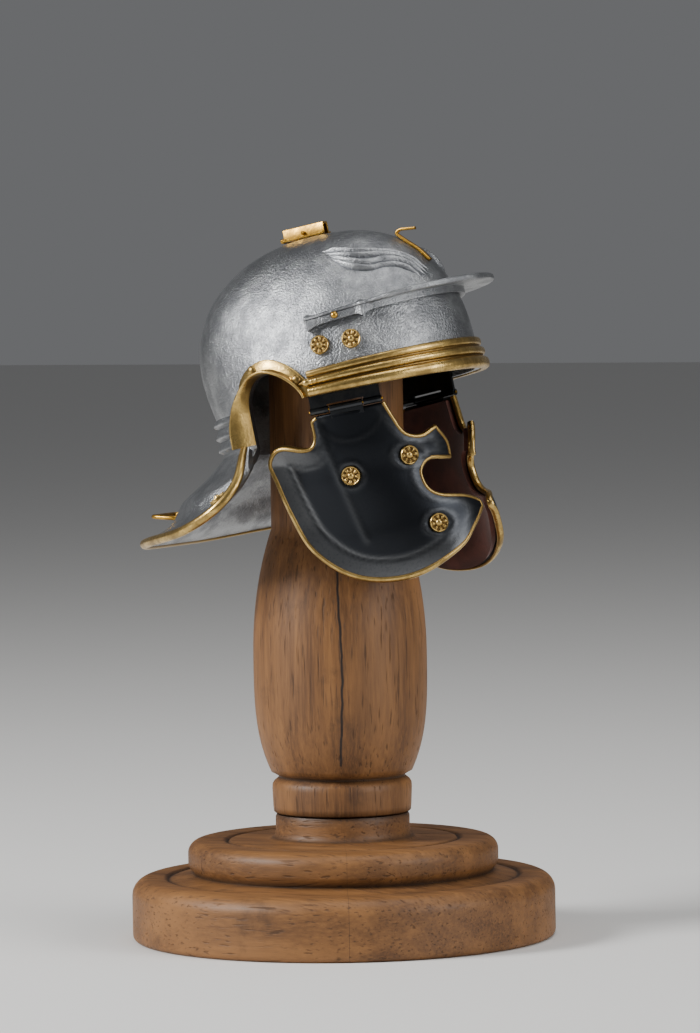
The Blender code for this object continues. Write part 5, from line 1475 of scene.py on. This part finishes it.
class CheekSurface:
    """Outer face of a cheek guard over its side view."""

    flare_width = 2.6
    flare_height = 1.6

    def __init__(self, relief=True):
        self.outline = cheek_outline(0.5)
        rear, front = hinge_ends()
        self.ratio = (rear[0] ** 2 - front[0] ** 2) / (front[1] ** 2 - rear[1] ** 2)
        self.half = math.sqrt(rear[0] ** 2 + self.ratio * rear[1] ** 2)
        self.relief = relief

    def across(self, places):
        share = np.clip((places[:, 1] - CHEEK_TOP) / CHEEK_DEPTH, CHEEK_PLAN[0][0], CHEEK_PLAN[-1][0])
        table = np.array(CHEEK_PLAN)
        row = np.clip(np.searchsorted(table[:, 0], share, side="left") - 1, 0, len(table) - 2)
        t = (share - table[row, 0]) / (table[row + 1, 0] - table[row, 0])
        t = t * t * (3.0 - 2.0 * t) * 0.5 + t * 0.5
        wide = self.half * (table[row, 1] + (table[row + 1, 1] - table[row, 1]) * t)
        reach = self.half / math.sqrt(self.ratio) * (table[row, 2] + (table[row + 1, 2] - table[row, 2]) * t)
        plain = wide * np.sqrt(np.maximum(0.02, 1.0 - (places[:, 0] / reach) ** 2))
        distance, flare, inside = to_outline(places, self.outline, False)
        signed = np.where(inside, distance, -distance)
        near = np.clip(1.0 - signed / self.flare_width, 0.0, 2.0)
        result = plain + self.flare_height * flare * near**1.3 * (distance < self.flare_width)
        if self.relief:
            result += self.embossing(places, signed, flare)[0]
        return result

    def embossing(self, places, signed, flare):
        """Low relief of the sheet, and its mask of painted highlights on the relief lines and the flared
        edge: hinge panel, crease lines, dished bosses, embossed border.
        """
        height = np.zeros(len(places))
        bright = np.zeros(len(places))
        share = (places - np.array((CHEEK_REAR, CHEEK_TOP))) / np.array((CHEEK_LENGTH, CHEEK_DEPTH))
        for length, depth in CHEEK_BOSSES:
            away = np.hypot((share[:, 0] - length) * CHEEK_LENGTH, (share[:, 1] - depth) * CHEEK_DEPTH)
            ring = np.exp(-(((away - 1.75) / 0.28) ** 2))
            height += 0.16 * ring - 0.1 * (away < 1.5)
            bright = np.maximum(bright, ring * 0.07)
        arch = np.hypot((share[:, 0] - 0.52) / 0.185, (share[:, 1] + 0.02) / 0.20)
        height -= 0.22 * (0.5 - 0.5 * np.tanh((arch - 1.0) / 0.05))
        bright = np.maximum(bright, 0.05 * np.exp(-(((arch - 1.02) / 0.07) ** 2)))
        crease = self.crease(share)
        height += 0.14 * np.exp(-((crease / 0.4) ** 2))
        bright = np.maximum(bright, 0.05 * np.exp(-((crease / 0.4) ** 2)))
        fold = np.exp(-(((signed - self.flare_width) / 0.3) ** 2)) * (flare > 0.3)
        height -= 0.08 * fold
        border = (1.0 - flare) * np.exp(-(((signed - 0.8) / 0.3) ** 2))
        height += 0.12 * border
        bright = np.maximum(bright, 0.08 * border)
        # Painted highlight on the flared edge and along its fold.
        bright = np.maximum(bright, flare * np.clip((self.flare_width - 0.1 - signed) / 0.7, 0.0, 1.0) * 0.32)
        bright = np.maximum(bright, flare * np.exp(-(((signed - self.flare_width) / 0.35) ** 2)) * 0.22)
        return height, bright

    def crease(self, share):
        """Distance in millimetres to the line that runs down behind the hinge panel."""
        x = share[:, 0] * CHEEK_LENGTH
        y = share[:, 1] * CHEEK_DEPTH
        line = spline(((0.345, 0.02), (0.36, 0.2), (0.40, 0.42), (0.43, 0.62), (0.46, 0.76)), 4) * (
            CHEEK_LENGTH, CHEEK_DEPTH,
        )
        best = np.full(len(x), np.inf)
        for start, end in zip(line, line[1:]):
            run = end - start
            along = np.clip(((x - start[0]) * run[0] + (y - start[1]) * run[1]) / (run @ run), 0.0, 1.0)
            best = np.minimum(best, np.hypot(x - start[0] - along * run[0], y - start[1] - along * run[1]))
        return best

    def point(self, places, side):
        return np.stack([side * self.across(places), -places[:, 0], -places[:, 1]], axis=1)

    def normal(self, places, side):
        step = 0.12
        ahead = self.point(places + (step, 0.0), side) - self.point(places - (step, 0.0), side)
        below = self.point(places - (0.0, step), side) - self.point(places + (0.0, step), side)
        normal = unit(np.cross(ahead, below))
        return normal * np.where(normal[:, :1] * side > 0.0, 1.0, -1.0)


def shrink(outline, distance):
    """The outline drawn in by a distance."""
    before = unit(outline[:, :2] - np.roll(outline[:, :2], 1, axis=0))
    after = unit(np.roll(outline[:, :2], -1, axis=0) - outline[:, :2])
    both = before + after
    bisector = unit(np.stack([-both[:, 1], both[:, 0]], axis=1))
    square = np.stack([-before[:, 1], before[:, 0]], axis=1)
    stretch = np.maximum(0.6, np.abs(np.sum(bisector * square, axis=1)))
    result = outline.copy()
    result[:, :2] += bisector * (distance / stretch)[:, None]
    return result


def fill(outline, step):
    """Triangles inside a closed side-view outline, on a regular grid."""
    border = outline[:, :2]
    low, high = border.min(0), border.max(0)
    grid = []
    for row, y in enumerate(np.arange(low[1], high[1], step * 0.87)):
        for x in np.arange(low[0] + 0.5 * step * (row % 2), high[0], step):
            grid.append((x, y))
    grid = np.array(grid)
    distance, _, inside = to_outline(grid, outline, True)
    grid = grid[inside & (distance > 0.5 * step)]
    places = [Vector(place) for place in np.vstack([border, grid])]
    verts, _, faces, *_ = delaunay_2d_cdt(places, [], [list(range(len(border)))], 1, 1e-6)
    return np.array([tuple(vert) for vert in verts]), [tuple(face) for face in faces]


class HELMET_OT_cheek_guards(bpy.types.Operator):
    """Shape the cheek guards with their flared edge, brass trim, bosses and suede lining"""

    bl_idname = "helmet.cheek_guards"
    bl_label = "Cheek Guards"

    def execute(self, context):
        materials = get_materials()
        surface = CheekSurface()
        plain = CheekSurface(relief=False)
        outline = surface.outline
        places, faces = fill(outline, 0.45)
        inner_outline = shrink(cheek_outline(0.6), 0.55)
        lining_places, lining_faces = fill(inner_outline, 0.6)
        for name, side in SIDES.items():
            body = f"cheek_guard_{name}"
            outer = surface.point(places, side)
            inner = plain.point(places, side) - plain.normal(places, side) * CHEEK_SHEET
            distance, flare, inside = to_outline(places, outline, False)
            # The mask: painted highlights from the relief on the outer face; the inner face and the knuckle
            # keep the blackened field's dark.
            _, bright = surface.embossing(places, np.where(inside, distance, -distance), flare)
            mask = np.concatenate([bright, np.full(len(places), 0.1)])
            sheet = merge(shell(outer, inner, faces), self.knuckle(side))
            mask = np.concatenate([mask, np.full(len(sheet[0]) - len(mask), 0.06)])
            masks, tin = {"raised": mask}, materials["tinned_guard"]
            finish(f"cheek_sheet_{name}", sheet, tin, body, (body,), sharp=50.0, masks=masks)
            self.trim(context, name, side, plain, outline, materials["worked_brass"], body)
            skin = plain.point(lining_places, side)
            normals = plain.normal(lining_places, side)
            lining = shell(
                skin - normals * (CHEEK_SHEET + 0.08), skin - normals * (CHEEK_SHEET + 0.75),
                lining_faces,
            )
            nodes = (f"cheek_lining_{name}",)
            finish(f"cheek_suede_{name}", lining, materials["lining_suede"], body, nodes)
            self.bosses(context, name, side, plain, materials["worked_brass"], body)
        return {"FINISHED"}

    def knuckle(self, side):
        """Hinge tube that the guard carries, and the tongue under it."""
        rear, front = (end * (side, 1.0, 1.0) for end in hinge_ends())
        start, end = rear + (front - rear) * 0.27, rear + (front - rear) * 0.73
        axis = unit(end - start)
        across = unit(np.cross(axis, (0.0, 0.0, 1.0)))
        lift = np.cross(across, axis)
        steps = ((start, 0.28), (start, 0.5), (end, 0.5), (end, 0.28))
        rings = [oval(centre, across * radius, lift * radius, 24) for centre, radius in steps]
        barrel = loft(rings, closed=True)
        rings = []
        for centre in (start, end):
            corners = [(-0.2, -0.35), (0.2, -0.35), (0.2, -1.4), (-0.2, -1.4)]
            rings.append(np.array([centre + across * out + np.array((0.0, 0.0, up)) for out, up in corners]))
        return merge(barrel, loft(rings))

    def trim(self, context, name, side, surface, outline, brass, body):
        """Round brass edge that laps over the sheet."""
        thickness = context.scene.helmet_sizes.trim_thickness / MM
        places = outline[:-1, :2]
        points = surface.point(places, side)
        normals = surface.normal(places, side)
        outward = unit(np.cross(tangents(points), normals)) * side
        rings = []
        for point, normal, out in zip(points, normals, outward):
            centre = point - normal * CHEEK_SHEET / 2 - out * TRIM_LAP
            rings.append(oval(centre, out * TRIM_HALF_WIDTH, normal * thickness / 2, 14))
        # Painted shade on the side of the edge that meets the sheet, painted light on its outer side.
        shade = np.tile(np.clip(0.45 + 0.6 * np.cos(round_angles(14)), 0.1, 1.0), len(rings))
        brass_piece(f"cheek_edge_{name}", loft(rings), brass, f"cheek_trim_{name}", raised=shade, body=body)

    def bosses(self, context, name, side, surface, brass, body):
        sizes = context.scene.helmet_sizes
        points, faces, shade = rosette(sizes.rosette_radius / MM, ROSETTE_HEIGHT, sizes.petals)
        for number, (length, depth) in enumerate(CHEEK_BOSSES, 1):
            place = np.array([(CHEEK_REAR + length * CHEEK_LENGTH, CHEEK_TOP + depth * CHEEK_DEPTH)])
            point, normal = surface.point(place, side)[0], surface.normal(place, side)[0]
            matrix = seat(point - normal * 0.08, normal)
            node, piece = f"cheek_rosette_{name}_{number}", f"cheek_flower_{name}_{number}"
            brass_piece(piece, (points, faces), brass, node, 50.0, shade, body, matrix)


class HELMET_OT_hinges(bpy.types.Operator):
    """Give the hinge leaves and pins, whose shapes are right already, their own finish"""

    bl_idname = "helmet.hinges"
    bl_label = "Hinges"

    def execute(self, context):
        materials = get_materials()
        for name in SIDES:
            # The hinge leaves take the darkened tin, painted shade under the rim; the pins take plain brass.
            for node, finish_name in (
                (f"hinge_leaf_{name}", "dark_tin"), (f"hinge_pin_{name}", "plain_brass"),
            ):
                for slot in frame["nodes"][node].material_slots:
                    slot.material = materials[finish_name]
        return {"FINISHED"}


class HELMET_OT_stage(bpy.types.Operator):
    """Set out the pale floor, the soft lights and the camera"""

    bl_idname = "helmet.stage"
    bl_label = "Stage"

    def execute(self, context):
        material, _, shader = new_material("pale_floor")
        shader.inputs["Base Color"].default_value = (0.74, 0.73, 0.71, 1.0)
        shader.inputs["Roughness"].default_value = 0.85
        mesh = bpy.data.meshes.new("floor")
        mesh.from_pydata(
            [(-3.0, -3.0, 0.0), (3.0, -3.0, 0.0), (3.0, 3.0, 0.0), (-3.0, 3.0, 0.0)], [], [(0, 1, 2, 3)],
        )
        mesh.materials.append(material)
        floor = bpy.data.objects.new("floor", mesh)
        context.scene.collection.objects.link(floor)

        world = bpy.data.worlds.new("studio")
        world.use_nodes = True
        background = world.node_tree.nodes["Background"]
        background.inputs["Color"].default_value = (0.55, 0.56, 0.58, 1.0)
        background.inputs["Strength"].default_value = 0.26
        context.scene.world = world

        self.light("key", (-0.36, 0.36, 0.34), 0.20, 4.6)
        self.light("front", (-0.10, -0.56, 0.26), 0.30, 1.9)
        self.light("top", (-0.02, -0.12, 0.60), 0.35, 1.5)
        self.camera(context)
        return {"FINISHED"}

    def light(self, name, place, size, power):
        data = bpy.data.lights.new(name, "AREA")
        data.size = size
        data.energy = power
        lamp = bpy.data.objects.new(name, data)
        lamp.location = place
        aim = Vector((0.0, 0.0, 0.06)) - Vector(place)
        lamp.rotation_euler = aim.to_track_quat("-Z", "Y").to_euler()
        bpy.context.scene.collection.objects.link(lamp)

    def camera(self, context):
        """Long lens at the photograph's angle: 65 degrees round from the front, three degrees downward."""
        data = bpy.data.cameras.new("camera")
        data.sensor_width = 36.0
        data.lens = FOCAL_LENGTH / PHOTO_HEIGHT * data.sensor_width
        data.clip_start = 0.05
        camera = bpy.data.objects.new("camera", data)
        place = Vector((-0.7038, -0.3282, 0.1002))
        heading = math.atan2(-place.y, -place.x) - 12.1 / FOCAL_LENGTH
        pitch = math.atan((PHOTO_HEIGHT / 2 - 228.5) / FOCAL_LENGTH)
        turn = Matrix.Rotation(heading - math.pi / 2, 4, "Z") @ Matrix.Rotation(math.pi / 2 - pitch, 4, "X")
        camera.matrix_world = Matrix.Translation(place) @ turn @ Matrix.Rotation(math.radians(-0.9), 4, "Z")
        context.scene.collection.objects.link(camera)
        context.scene.camera = camera


OPERATORS = (
    HELMET_OT_stand,
    HELMET_OT_bowl,
    HELMET_OT_brow_band,
    HELMET_OT_visor,
    HELMET_OT_ear_guards,
    HELMET_OT_bosses,
    HELMET_OT_crest_fittings,
    HELMET_OT_handle,
    HELMET_OT_hinges,
    HELMET_OT_cheek_guards,
    HELMET_OT_stage,
)


class HELMET_PT_panel(bpy.types.Panel):
    """Sidebar panel that lists the pieces"""

    bl_idname = "HELMET_PT_panel"
    bl_label = "Legionary Helmet"
    bl_space_type = "VIEW_3D"
    bl_region_type = "UI"
    bl_category = "Helmet"

    def draw(self, context):
        layout = self.layout
        for group in (context.scene.helmet_sizes, context.scene.helmet_look):
            for name in group.__annotations__:
                layout.prop(group, name)
        for operator in OPERATORS:
            layout.operator(operator.bl_idname)


CLASSES = (HelmetSizes, HelmetLook, *OPERATORS, HELMET_PT_panel)


def register():
    for cls in CLASSES:
        bpy.utils.register_class(cls)
    bpy.types.Scene.helmet_sizes = PointerProperty(type=HelmetSizes)
    bpy.types.Scene.helmet_look = PointerProperty(type=HelmetLook)


def unregister():
    del bpy.types.Scene.helmet_look
    del bpy.types.Scene.helmet_sizes
    for cls in reversed(CLASSES):
        bpy.utils.unregister_class(cls)


def main():
    register()
    for operator in OPERATORS:
        group, name = operator.bl_idname.split(".")
        getattr(getattr(bpy.ops, group), name)()
    bpy.context.view_layer.update()


if __name__ == "__main__":
    main()
